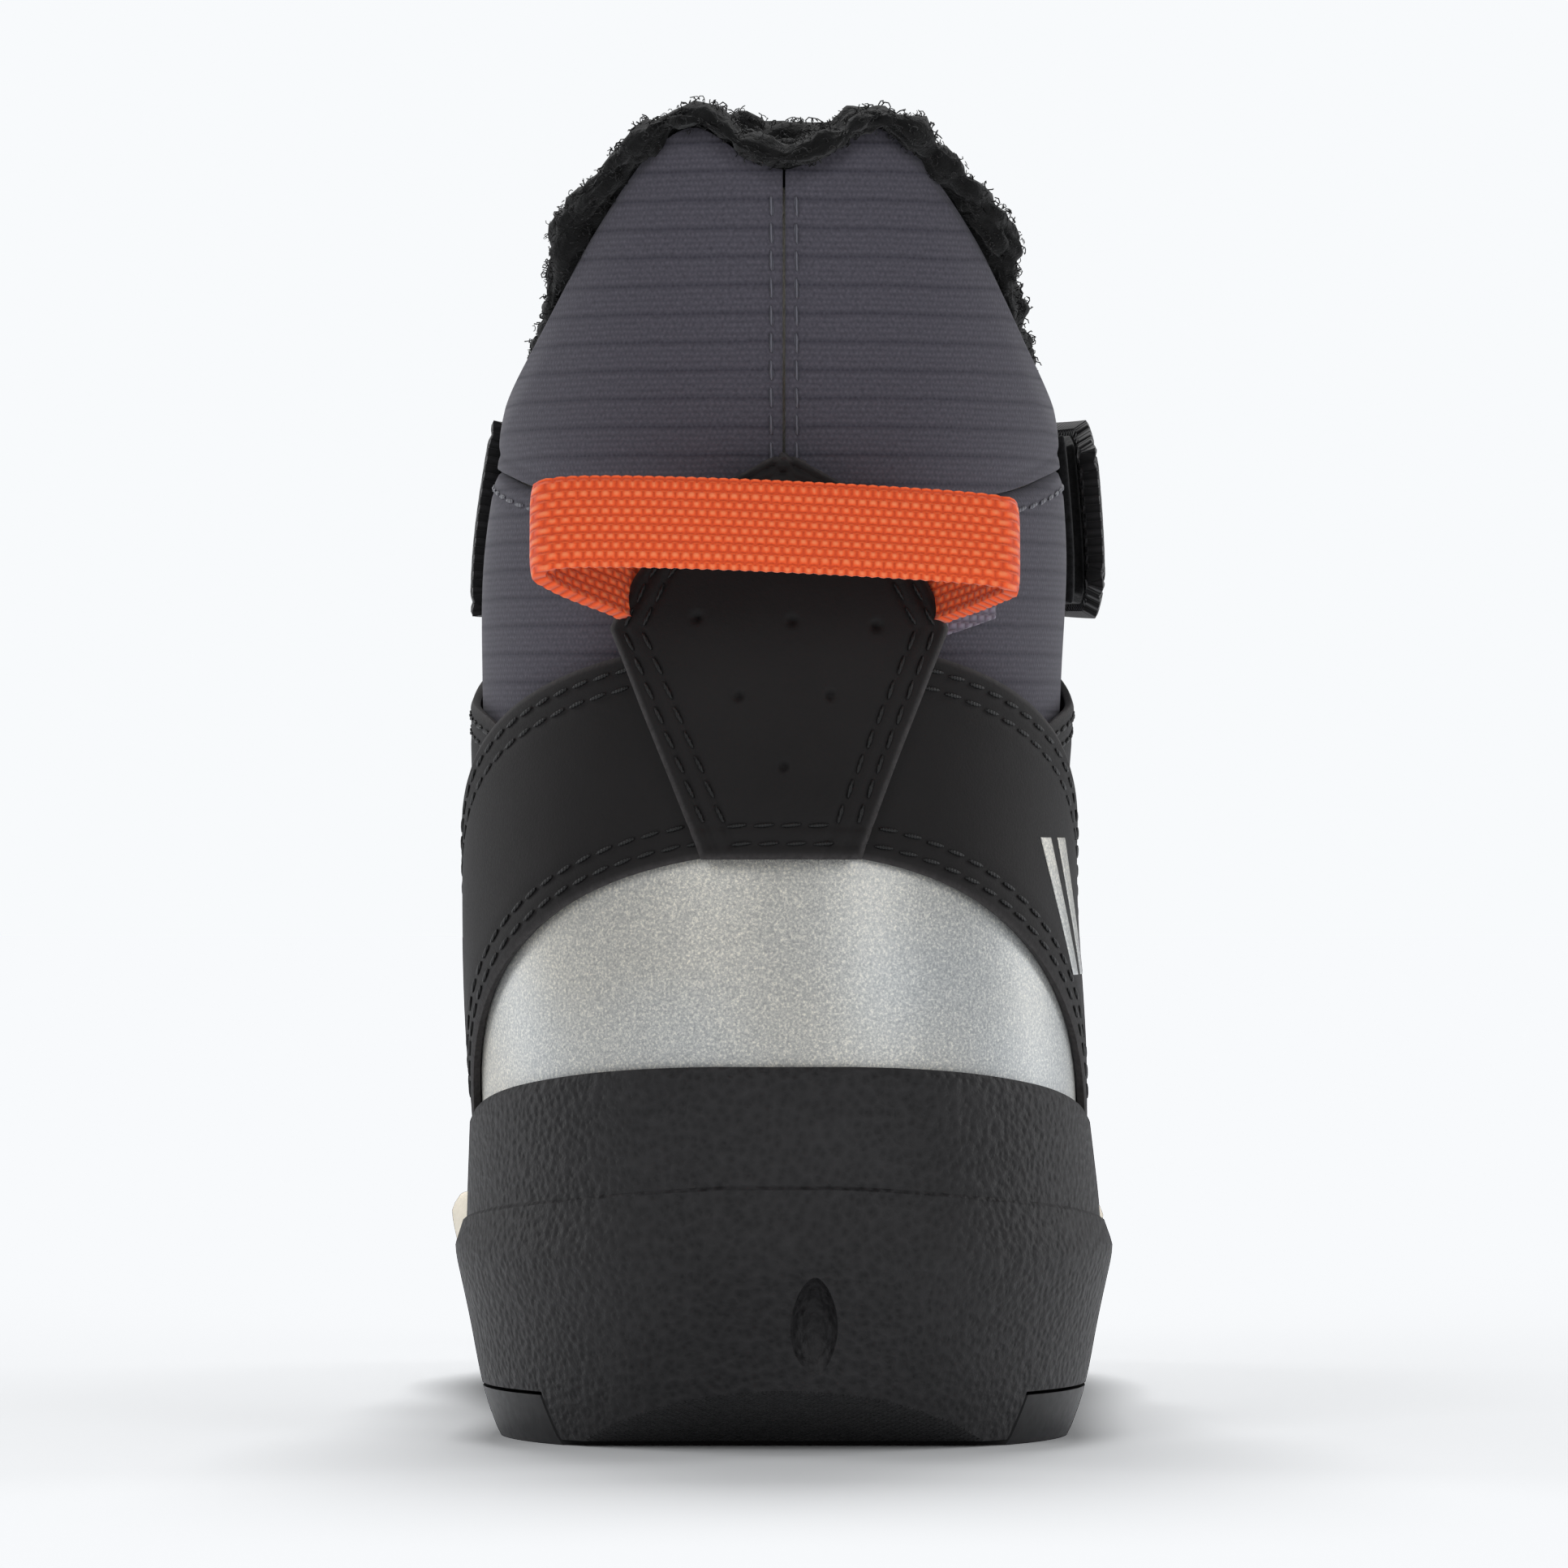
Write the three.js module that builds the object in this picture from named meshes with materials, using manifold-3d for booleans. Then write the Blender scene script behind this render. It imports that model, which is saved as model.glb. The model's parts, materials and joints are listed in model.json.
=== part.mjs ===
// A child's winter boot for the right foot, as an assembly of the pieces that a bootmaker sews, lasts and glues.
// Millimetres. The origin is on the ground under the middle of the heel; +Y points to the toe, +X to the
// outer (lateral) side of the foot and +Z up.
import * as THREE from "three";
import { mergeVertices } from "three/addons/utils/BufferGeometryUtils.js";
import Module from "manifold-3d";

const wasm = await Module();
wasm.setup();

// ---------- Driving dimensions ----------
const heelBack = -34; // rearmost point of the upper, at the heel bulge
const toeFront = 167; // foremost point of the upper
const shaftBack = -29.2; // back of the shaft above the heel
const shaftFront = 46; // front of the shaft under the straps
const bodyHalfWidth = 32; // half the width of heel and shaft
const medialFuller = 1.6; // the inner side stands this much further out than the mean, the outer side less
const ballFuller = 3.6; // the foot is this much wider each side at the ball
const heelRound = 35; // length, back to front, of the rounded heel
const longestToeRound = 66; // length of the rounded front, where the boot is long enough
const toeBluntness = 0.82; // power of the front curve: 1 is an ellipse, less is blunter

const floorHeight = 15.7; // top of the sole inside its side walls
const treadThickness = 5.5; // rubber tread under the heel
const foreTreadTop = 13.7; // top of the rubber under the ball
const toeSpring = 9; // how far the toe's tread stands off the ground
const treadGrooveDepth = 2.6;
const treadGrooveWidth = 3.6;
const gap = 0.4; // clearance between pieces that touch
const softGap = 0.7; // clearance between the soft layers inside

const fabric = 1; // shell fabric thickness
const overlay = 0.9; // coated synthetic of quarters and heel band
const padding = 2.3; // foam under the shell
const fleece = 3.2; // pile lining thickness
const webbing = 1.5; // pull loop thickness
const strapThickness = 1.7;
const strapWidth = 22;
const hookTape = 1.1; // thickness of each half of the hook-and-loop tape
const backSeamDip = 140.3; // collar edge at the back seam
const collarPeak = 145; // collar edge each side of the seam
const collarSide = 115.5; // collar edge at the ankle
const tongueTop = 144;

// ---------- Layers, as offsets out from the shell fabric's face ----------
const quarterIn = gap + 0.3;
const quarterOut = quarterIn + overlay;
const bandIn = quarterOut + gap;
const bandOut = bandIn + overlay;
const patchIn = bandOut + gap;
const patchOut = patchIn + overlay;
const paddingOut = -fabric - softGap;
const paddingIn = paddingOut - padding;
const fleeceOut = paddingIn - softGap;
const fleeceIn = fleeceOut - fleece;

// ---------- The shape of the boot ----------
// A smooth function through [x, value] knots, level past both ends.
function through(...knots) {
  const last = knots.length - 1;
  const slope = (i) => {
    if (i === 0 || i === last) return 0;
    return (knots[i + 1][1] - knots[i - 1][1]) / (knots[i + 1][0] - knots[i - 1][0]);
  };
  return (x) => {
    if (x <= knots[0][0]) return knots[0][1];
    if (x >= knots[last][0]) return knots[last][1];
    const i = knots.findIndex((knot) => knot[0] > x) - 1;
    const [x0, v0] = knots[i];
    const [x1, v1] = knots[i + 1];
    const width = x1 - x0;
    const t = (x - x0) / width;
    const ease = t * t * (3 - 2 * t);
    const lead = t * (1 - t) * (1 - t) * width * slope(i);
    const trail = t * t * (t - 1) * width * slope(i + 1);
    return v0 + (v1 - v0) * ease + lead + trail;
  };
}
const mix = (a, b, t) => a + (b - a) * t;

const backLine = through(
  [0, heelBack + 2],
  [20, heelBack + 0.8],
  [42, heelBack],
  [60, heelBack + 0.9],
  [80, mix(heelBack, shaftBack, 0.7)],
  [100, shaftBack],
  [122, shaftBack - 0.2],
  [150, shaftBack - 2.2],
);
// How far the front has come from the shaft (0) to the toe (1) at each height.
const frontShare = through(
  [8, 0.985], [18, 1], [27, 0.985], [35, 0.93], [42, 0.815], [50, 0.64], [58, 0.475],
  [66, 0.34], [75, 0.225], [85, 0.135], [97, 0.06], [112, 0.015], [128, 0],
);
const frontLine = (z) => mix(shaftFront, toeFront, frontShare(z));
const widthByHeight = through(
  [15, bodyHalfWidth - 1], [30, bodyHalfWidth - 0.5], [45, bodyHalfWidth - 0.1], [65, bodyHalfWidth - 0.3],
  [85, bodyHalfWidth + 0.5], [100, bodyHalfWidth + 0.6], [122, bodyHalfWidth - 1.8], [150, bodyHalfWidth - 3],
);
// The heel bulges inwards most just above the ankle's seat, and the sole and collar sit square.
const leanByHeight = through([20, 0], [36, 0.5], [62, medialFuller], [100, 0.6 * medialFuller], [125, 0.3]);
// Fullness of the foot along its length, as a share of the ball's, from the heel's middle (0) to the toe (1).
const medialFullness = through([0, 0], [0.25, -0.5], [0.45, 0.4], [0.66, 1], [0.85, 0.3], [1, -0.6]);
const lateralFullness = through([0, 0], [0.2, 0], [0.4, 0.2], [0.58, 0.45], [0.8, 0.2], [1, -0.9]);
const fullnessByHeight = through([30, 1], [60, 0.8], [88, 0]);

function halfWidth(y, z, side) {
  const along = THREE.MathUtils.clamp(y / toeFront, 0, 1);
  const fullness = side < 0 ? medialFullness(along) : lateralFullness(along);
  const lean = (side < 0 ? 1 : -1) * leanByHeight(z);
  return widthByHeight(z) + lean + fullness * ballFuller * fullnessByHeight(z);
}

// The outline of the boot at one height: a rounded heel, straight sides and a rounded front.
function outline(z) {
  const back = backLine(z);
  const front = frontLine(z);
  const toeRound = Math.min(longestToeRound, front - back - heelRound - 1);
  const heelArc = (heelRound * Math.PI) / 2;
  const straight = front - back - heelRound - toeRound;
  return { back, front, toeRound, heelArc, straight, total: heelArc + straight + (toeRound * Math.PI) / 2 };
}
const girthToFront = (z) => outline(z).total;

// A point on the shell at a girth from the back seam (+ on the outer side) and a height.
function shellPoint(girth, z) {
  const line = outline(z);
  let s = girth;
  if (s > line.total) s -= 2 * line.total;
  if (s < -line.total) s += 2 * line.total;
  const side = s < 0 ? -1 : 1;
  const g = Math.abs(s);
  const toeStart = line.heelArc + line.straight;
  let y = line.back + heelRound + g - line.heelArc;
  let share = 1;
  if (g < line.heelArc) {
    y = line.back + heelRound * (1 - Math.cos(g / heelRound));
    share = Math.sin(g / heelRound);
  } else if (g > toeStart) {
    const turn = (g - toeStart) / line.toeRound;
    y = line.front - line.toeRound * (1 - Math.sin(turn));
    share = Math.max(Math.cos(turn), 0) ** toeBluntness;
  }
  return new THREE.Vector3(side * share * halfWidth(y, z, side), y, z);
}

// The girth at which the outline passes a distance y forward of the heel.
function girthAt(y, z) {
  const line = outline(z);
  const toeStart = line.front - line.toeRound;
  if (y <= line.back + heelRound) {
    return heelRound * Math.acos(THREE.MathUtils.clamp(1 - (y - line.back) / heelRound, -1, 1));
  }
  if (y <= toeStart) return line.heelArc + y - line.back - heelRound;
  const sine = THREE.MathUtils.clamp((y - toeStart) / line.toeRound, 0, 1);
  return line.heelArc + line.straight + line.toeRound * Math.asin(sine);
}
// The girth at a distance x across the back of the heel.
const girthAcross = (x) => heelRound * Math.asin(THREE.MathUtils.clamp(x / bodyHalfWidth, -1, 1));

function outward(girth, z) {
  const step = 0.4;
  const along = shellPoint(girth + step, z).sub(shellPoint(girth - step, z));
  const up = shellPoint(girth, z + step).sub(shellPoint(girth, z - step));
  const normal = along.clone().cross(up);
  if (Math.abs(girthToFront(z) - Math.abs(girth)) < 2 * step) normal.x = 0;
  return normal.normalize();
}
// A point offset square to the shell, as a layer of material lies.
function layerPoint(girth, z, offset) {
  return shellPoint(girth, z).addScaledVector(outward(girth, z), offset);
}
// A point offset level, as the sole's side walls stand.
function levelPoint(girth, z, offset) {
  const normal = outward(girth, z);
  normal.z = 0;
  return shellPoint(girth, z).addScaledVector(normal.normalize(), offset);
}

// ---------- Meshes and solids ----------
function geometryOf(points, triangles) {
  const geometry = new THREE.BufferGeometry();
  geometry.setAttribute("position", new THREE.Float32BufferAttribute(points.flatMap((p) => [p.x, p.y, p.z]), 3));
  geometry.setIndex(triangles);
  return geometry;
}
function solidOf(geometry) {
  const bare = geometry.clone();
  bare.deleteAttribute("normal");
  bare.deleteAttribute("uv");
  const merged = mergeVertices(bare, 1e-4);
  // Where two points became one, the triangle between them has no area and is left out.
  const triangles = [];
  for (let i = 0; i < merged.index.count; i += 3) {
    const [a, b, c] = [0, 1, 2].map((k) => merged.index.getX(i + k));
    if (a !== b && b !== c && c !== a) triangles.push(a, b, c);
  }
  return new wasm.Manifold(
    new wasm.Mesh({
      numProp: 3,
      vertProperties: merged.attributes.position.array,
      triVerts: new Uint32Array(triangles),
    }),
  );
}
function geometryFrom(solid) {
  const mesh = solid.getMesh();
  const geometry = new THREE.BufferGeometry();
  geometry.setAttribute("position", new THREE.BufferAttribute(mesh.vertProperties, 3));
  geometry.setIndex(new THREE.BufferAttribute(mesh.triVerts, 1));
  return geometry;
}

// A cut piece of sheet wrapped on the boot. at(u, v) gives its [girth, height] for u and v from 0 to 1.
function sheet({ columns, rows, at, inner, outer }) {
  const offsetAt = (offset, u, v) => (typeof offset === "function" ? offset(u, v) : offset);
  const points = [];
  for (const offset of [outer, inner]) {
    for (let j = 0; j <= rows; j++) {
      for (let i = 0; i <= columns; i++) {
        const [u, v] = [i / columns, j / rows];
        const [girth, z] = at(u, v);
        points.push(layerPoint(girth, z, offsetAt(offset, u, v)));
      }
    }
  }
  const layerSize = (columns + 1) * (rows + 1);
  const vertex = (i, j, layer) => layer * layerSize + j * (columns + 1) + i;
  const triangles = [];
  const quad = (a, b, c, d) => triangles.push(a, b, c, a, c, d);
  for (let j = 0; j < rows; j++) {
    for (let i = 0; i < columns; i++) {
      quad(vertex(i, j, 0), vertex(i + 1, j, 0), vertex(i + 1, j + 1, 0), vertex(i, j + 1, 0));
      quad(vertex(i, j, 1), vertex(i, j + 1, 1), vertex(i + 1, j + 1, 1), vertex(i + 1, j, 1));
    }
  }
  for (let i = 0; i < columns; i++) {
    quad(vertex(i, 0, 1), vertex(i + 1, 0, 1), vertex(i + 1, 0, 0), vertex(i, 0, 0));
    quad(vertex(i, rows, 0), vertex(i + 1, rows, 0), vertex(i + 1, rows, 1), vertex(i, rows, 1));
  }
  for (let j = 0; j < rows; j++) {
    quad(vertex(0, j, 1), vertex(0, j, 0), vertex(0, j + 1, 0), vertex(0, j + 1, 1));
    quad(vertex(columns, j, 0), vertex(columns, j, 1), vertex(columns, j + 1, 1), vertex(columns, j + 1, 0));
  }
  return geometryOf(points, triangles);
}

// A closed skin through rings of points, each ring running from the back seam round the outer side first.
// Its ends are capped, except where the first ring is already pressed flat to a line.
function skinOver(rings, flatStart = false) {
  const count = rings[0].length;
  const points = rings.flat();
  const triangles = [];
  for (let r = 0; r + 1 < rings.length; r++) {
    for (let i = 0; i < count; i++) {
      const [a, b] = [r * count + i, r * count + ((i + 1) % count)];
      triangles.push(a, b, b + count, a, b + count, a + count);
    }
  }
  for (const [ring, turned] of flatStart ? [[rings.length - 1, false]] : [[0, true], [rings.length - 1, false]]) {
    const centre = rings[ring].reduce((sum, p) => sum.add(p), new THREE.Vector3()).divideScalar(count);
    points.push(centre);
    const hub = points.length - 1;
    for (let i = 0; i < count; i++) {
      const [a, b] = [ring * count + i, ring * count + ((i + 1) % count)];
      triangles.push(...(turned ? [hub, b, a] : [hub, a, b]));
    }
  }
  return geometryOf(points, triangles);
}
// One ring: pointOf(girth, z) at evenly spaced girths at a height.
function ringAt(z, count, pointOf) {
  const total = girthToFront(z);
  return Array.from({ length: count }, (_, i) => pointOf(total * ((2 * (i + 0.5)) / count - 1), z));
}

const far = 300; // reaches past the boot in every direction
// A block across the boot with a profile drawn in the side view, as [y, z] corners.
function sideBlock(corners) {
  const profile = new THREE.Shape(corners.map(([y, z]) => new THREE.Vector2(y, z)));
  const block = new THREE.ExtrudeGeometry(profile, { depth: 2 * far, bevelEnabled: false, steps: 1 });
  block.applyMatrix4(new THREE.Matrix4().set(0, 0, 1, -far, 1, 0, 0, 0, 0, 1, 0, 0, 0, 0, 0, 1));
  return solidOf(block);
}
function box(width, length, height, x, y, z, turn = 0) {
  const block = new THREE.BoxGeometry(width, length, height);
  block.rotateZ(turn);
  block.translate(x, y, z);
  return solidOf(block);
}

// ---------- Materials ----------
const finish = (color, roughness, metalness = 0) => new THREE.MeshStandardMaterial({ color, roughness, metalness });
const blackRubber = finish(0x232224, 0.62);
const treadRubber = finish(0x141314, 0.5);
const creamFoam = finish(0xd9d2c4, 0.7);
const boardGrey = finish(0x8c8880, 0.9);
const springSteel = finish(0xa9abad, 0.35, 1);
const feltGrey = finish(0x4a4a4d, 0.95);
const stiffener = finish(0xc9c2b2, 0.8);
const blackFleece = finish(0x111112, 1);
const foam = finish(0xe3dfd2, 0.95);
const greyFabric = finish(0x4a4951, 0.85);
const blackSynthetic = finish(0x1c1b1c, 0.6);
const silverReflector = finish(0xa9abab, 0.38, 0.25);
const orangeWebbing = finish(0xf4521f, 0.75);
const blackStrap = finish(0x161616, 0.7);
const blackTape = finish(0x0c0c0c, 0.95);

const boot = new THREE.Group();
function piece(name, geometry, material, parent = boot) {
  const mesh = new THREE.Mesh(geometry, material);
  mesh.name = name;
  parent.add(mesh);
  return mesh;
}

// ---------- Sole ----------
const wallAtHeight = through([0, 0.9], [6, 3], [20.5, 5.3], [29, 4.5], [42, bandOut + 0.1]);
const springAt = through([0.62 * toeFront, 0], [toeFront + 5, toeSpring]);
// Top edge of the sole's side walls, from the heel forward.
const soleTop = through(
  [heelBack - 4, 42.4], [-20, 40], [0, 35.5], [30, 28.5], [55, 25], [110, 24], [150, 26.5], [toeFront + 4, 31],
);
const soleRingPoints = 60;
const springLift = (point, z) => {
  const fade = Math.max(0, 1 - z / soleTop(point.y));
  point.z += springAt(point.y) * fade;
  return point;
};
function soleBlank() {
  const levels = [0, 0.1, 0.27, 0.5, 0.68, 0.84, 1];
  const heights = [0, 6, 13, 21, 28, 35, 42.4];
  const rings = levels.map((share, level) =>
    ringAt(20, soleRingPoints, (girth) => {
      const foot = shellPoint(girth, 20);
      const top = soleTop(foot.y);
      const z = level < 4 ? Math.min(heights[level], top * levels[level] * 1.2) : mix(21, top, (level - 3) / 3);
      const clamped = Math.min(z, top);
      return springLift(levelPoint(girthAt(foot.y, clamped) * Math.sign(girth), clamped, wallAtHeight(clamped)), clamped);
    }),
  );
  // The tread's underside runs in from the lowest ring to the middle line.
  const middleLine = ringAt(20, soleRingPoints, (girth) => springLift(new THREE.Vector3(0, shellPoint(girth, 20).y, 0), 0));
  return solidOf(skinOver([middleLine, ...rings], true));
}
// The space that the lasted upper fills inside the sole.
function upperSpace() {
  const rings = [floorHeight, 22, 29, 37, 45, 56].map((z) =>
    ringAt(z, soleRingPoints, (girth) => levelPoint(girth, z, quarterOut + 1.3 * gap)),
  );
  return solidOf(skinOver(rings));
}

const strikeBlockFront = -20; // the heel's moulded rear block ends here and the tread begins
const strikeEdge = 8; // height of the bevel's upper edge at the back
const treadClear = 0.6; // the rear block stops this far off the ground
const cupFrontLow = 46;
const cupFrontHigh = 60;
const cupFrontTop = 28;
const notchAcross = 3.4;
const notchHeight = 12.6;
const notchHalf = { x: 3.3, y: 5, z: 6.9 };
const shankSize = { x: 15, y: 54, z: 1.4 };
const shankMiddle = 12;

function bevelCutter() {
  const slope = (strikeEdge - treadClear) / (14.5);
  const reach = 60;
  const heelEnd = heelBack - 4;
  return sideBlock([
    [heelEnd - reach, -5],
    [heelEnd + 14.5, -5],
    [heelEnd + 14.5, treadClear],
    [heelEnd - reach, strikeEdge + slope * reach],
  ]);
}
function notchCutter() {
  const slot = new THREE.SphereGeometry(1, 14, 10);
  slot.scale(notchHalf.x, notchHalf.y, notchHalf.z);
  slot.translate(notchAcross, heelBack - 5.7, notchHeight);
  return solidOf(slot);
}
const shankPocketFloor = floorHeight - shankSize.z - 2 * gap;
const blank = soleBlank().subtract(upperSpace());
const cupRegion = sideBlock([
  [-far, treadClear], [strikeBlockFront - gap, treadClear], [strikeBlockFront - gap, treadThickness + gap],
  [cupFrontLow - 6, treadThickness + gap], [cupFrontLow, foreTreadTop + gap],
  [cupFrontHigh, cupFrontTop], [cupFrontHigh, far], [-far, far],
]);
const heelCup = blank
  .intersect(cupRegion)
  .subtract(bevelCutter())
  .subtract(notchCutter())
  .subtract(box(shankSize.x + 2 * gap, shankSize.y + 2 * gap, 20, 0, shankMiddle, shankPocketFloor + 10));
piece("heel_cup", geometryFrom(heelCup), blackRubber);

const foreFoam = blank.intersect(
  sideBlock([
    [cupFrontLow + gap, foreTreadTop + gap], [cupFrontHigh + gap, cupFrontTop],
    [cupFrontHigh + gap, far], [far, far], [far, foreTreadTop + gap],
  ]),
);
piece("forefoot_midsole", geometryFrom(foreFoam), creamFoam);

// Tread: chevron grooves run in from both edges and leave a rib down the middle.
function treadGrooves(solid) {
  const pitch = 15;
  const ribHalf = 7;
  const grooveLength = 60;
  const slant = 0.3;
  let cut = solid;
  for (let y = strikeBlockFront + 13; y < toeFront - 12; y += pitch) {
    for (const side of [-1, 1]) {
      const middle = side * (ribHalf + (grooveLength / 2) * Math.cos(slant));
      const top = treadGrooveDepth + springAt(y + 10);
      const back = (grooveLength / 2) * Math.sin(slant);
      cut = cut.subtract(box(grooveLength, treadGrooveWidth, 2 * top, middle, y + back, 0, side * slant));
    }
  }
  return cut;
}
const treadRegion = sideBlock([
  [strikeBlockFront, -far], [strikeBlockFront, treadThickness], [cupFrontLow - 6, treadThickness],
  [cupFrontLow, foreTreadTop], [far, foreTreadTop], [far, -far],
]);
piece("outsole_tread", geometryFrom(treadGrooves(blank.intersect(treadRegion))), treadRubber);

const shank = new THREE.BoxGeometry(shankSize.x, shankSize.y, shankSize.z);
shank.translate(0, shankMiddle, shankPocketFloor + gap + shankSize.z / 2);
piece("steel_shank", shank, springSteel);

// Flat plates inside, cut to the boot's own outline.
function plate(bottom, thickness, inset) {
  const count = 40;
  const ring = (z) =>
    ringAt(20, count, (girth) => {
      const edge = levelPoint(girth, 20, -inset);
      edge.z = z;
      return edge;
    });
  return skinOver([ring(bottom), ring(bottom + thickness)]);
}
const boardThickness = 1.6;
const boardBottom = floorHeight + gap;
const sockBottom = boardBottom + boardThickness + gap;
const sockThickness = 2;
const footbedThickness = 3;
const footbedInset = 11.5;
piece("insole_board", plate(boardBottom, boardThickness, fabric + gap), boardGrey);
piece("felt_footbed", plate(sockBottom + sockThickness + softGap, footbedThickness, footbedInset), feltGrey);

// ---------- Lines on the upper ----------
const upperFoot = boardBottom + boardThickness + gap; // the shell's lower edge, inside the sole's walls
const collarRim = through(
  [0, backSeamDip], [5, backSeamDip + 1.5], [12, collarPeak], [18, collarPeak - 2], [23, collarPeak - 6],
  [29, collarPeak - 11.5], [40, collarSide + 8], [52, collarSide + 2], [66, collarSide], [80, collarSide + 1],
  [100, collarSide + 5],
);
const collarSeam = through([0, 103], [28, 104.8], [45, 107.6], [62, 109], [100, 110]);
const throatHalf = 17; // half the opening that the tongue fills
const throatFoot = 62; // height of the throat's lower end
const vampRear = through([17, 72], [40, 77], [54, 86], [throatFoot - 1, 92]);
const throatEdge = (z) => girthToFront(z) - throatHalf;
const frontEdge = (z) => (z < throatFoot ? Math.min(girthAt(vampRear(z), z), throatEdge(z)) : throatEdge(z));

// The heel band is bounded by two arches over the back of the heel.
const innerArch = { reach: 54, foot: 33, rise: 32.2, power: 1.55 };
const outerArch = { reach: 74, foot: 31, rise: 57.8, power: 1.15 };
const middleArch = { reach: 64, foot: 32, rise: 45.6, power: 1.35 };
const archPoint = (arch, turn) => [
  arch.reach * Math.sin(turn),
  arch.foot + arch.rise * Math.max(Math.cos(turn), 0) ** arch.power,
];
function archGirth(arch, z) {
  if (z <= arch.foot) return arch.reach;
  const share = Math.min((z - arch.foot) / arch.rise, 1) ** (1 / arch.power);
  return arch.reach * Math.sqrt(1 - share * share);
}

// ---------- Lining and stiffening ----------
function fleeceLining() {
  const count = 56;
  const rimAt = (share) => {
    const s = Math.abs(share) * girthToFront(120);
    const side = collarRim(s);
    const front = tongueTop + 1;
    const blendIn = THREE.MathUtils.smoothstep(s, 84, 94);
    return mix(side, front, blendIn);
  };
  const ring = (heightOf, offset) =>
    Array.from({ length: count }, (_, i) => {
      const share = (2 * (i + 0.5)) / count - 1;
      const z = heightOf(share);
      return layerPoint(share * girthToFront(z), z, offset);
    });
  const level = (z) => () => z;
  const rimShare = (t) => (share) => mix(91, rimAt(share), t);
  const rings = [
    ring(level(sockBottom), fleeceOut - 1.5),
    ring(level(sockBottom + 3), fleeceOut),
    ...[28, 37, 46, 55, 64, 73, 82, 90].map((z) => ring(level(z), fleeceOut)),
    ...[0.12, 0.3].map((t) => ring(rimShare(t), fleeceOut)),
    ring(rimShare(0.55), fleeceOut),
    ring((share) => rimAt(share) + gap, fleeceOut),
    ring((share) => rimAt(share) + gap + 0.4, 1.2),
    ring((share) => rimAt(share) + 3, 2),
    ring((share) => rimAt(share) + 5.2, 0.6),
    ring((share) => rimAt(share) + 5.6, -4),
    ring((share) => rimAt(share) + 2.5, fleeceIn - 0.6),
    ring(rimShare(0.8), fleeceIn),
    ring(rimShare(0.3), fleeceIn),
    ...[82, 68, 55, 42, 30].map((z) => ring(level(z), fleeceIn)),
    ring(level(sockBottom + sockThickness), fleeceIn - 1),
  ];
  return skinOver(rings);
}
piece("fleece_lining", fleeceLining(), blackFleece);

const paddingReach = 90; // girth each side that the collar foam covers
piece(
  "collar_foam",
  sheet({
    columns: 36, rows: 6, inner: paddingIn, outer: paddingOut,
    at: (u, v) => {
      const girth = mix(-paddingReach, paddingReach, u);
      return [girth, mix(90, collarRim(Math.abs(girth)) - 2, v)];
    },
  }),
  foam,
);
piece(
  "heel_counter",
  sheet({
    columns: 18, rows: 3, inner: paddingOut - 1.9, outer: paddingOut,
    at: (u, v) => {
      const across = mix(-1, 1, u);
      return [66 * across, mix(21, 34 + 26 * Math.sqrt(1 - across * across), v)];
    },
  }),
  stiffener,
);
piece(
  "toe_puff",
  sheet({
    columns: 16, rows: 4, inner: paddingOut - 1.9, outer: paddingOut,
    at: (u, v) => {
      const z = mix(21, 40, v);
      return [girthToFront(z) + mix(-1, 1, u) * mix(62, 40, v), z];
    },
  }),
  stiffener,
);

// ---------- Shell ----------
const seamGap = 0.2; // half the gap between panels that butt at a seam
for (const [side, name] of [[-1, "medial"], [1, "lateral"]]) {
  // Columns run away from the back seam on the outer side and towards it on the inner side, so that u grows with girth.
  const across = (u) => (side > 0 ? u : 1 - u);
  piece(
    "shaft_fabric_" + name,
    sheet({
      columns: 26, rows: 14, inner: -fabric, outer: 0,
      at: (u, v) => {
        const rough = mix(0, 95, across(u));
        const z = mix(upperFoot, collarSeam(rough) - seamGap, v);
        return [side * mix(seamGap, frontEdge(z), across(u)), z];
      },
    }),
    greyFabric,
  );
  piece(
    "collar_fabric_" + name,
    sheet({
      columns: 15, rows: 2, inner: -fabric, outer: 0,
      at: (u, v) => {
        const girth = mix(seamGap, throatEdge(115), across(u));
        return [side * girth, mix(collarSeam(girth) + seamGap, collarRim(girth), v)];
      },
    }),
    greyFabric,
  );
}
piece(
  "vamp",
  sheet({
    columns: 26, rows: 9, inner: -fabric, outer: 0,
    at: (u, v) => {
      const z = mix(upperFoot, throatFoot, v);
      return [girthToFront(z) + mix(-1, 1, u) * (girthToFront(z) - frontEdge(z) - 4 * seamGap), z];
    },
  }),
  blackSynthetic,
);
const toeCapRear = 118; // the toe guard reaches back to here at the sole
piece(
  "toe_cap",
  sheet({
    columns: 18, rows: 2, inner: quarterIn, outer: bandOut,
    at: (u, v) => {
      const low = 31.6;
      const start = girthAt(toeCapRear, low);
      const reach = girthToFront(low) - start;
      const across = mix(-1, 1, u);
      const high = low + 1 + 10.5 * (1 - across * across);
      const z = mix(low, high, v);
      return [girthToFront(z) + across * reach, z];
    },
  }),
  blackRubber,
);
const quarterTop = through([28, 76], [37, 80.5], [50, 83.5], [70, 88], [95, 90]);
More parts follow.
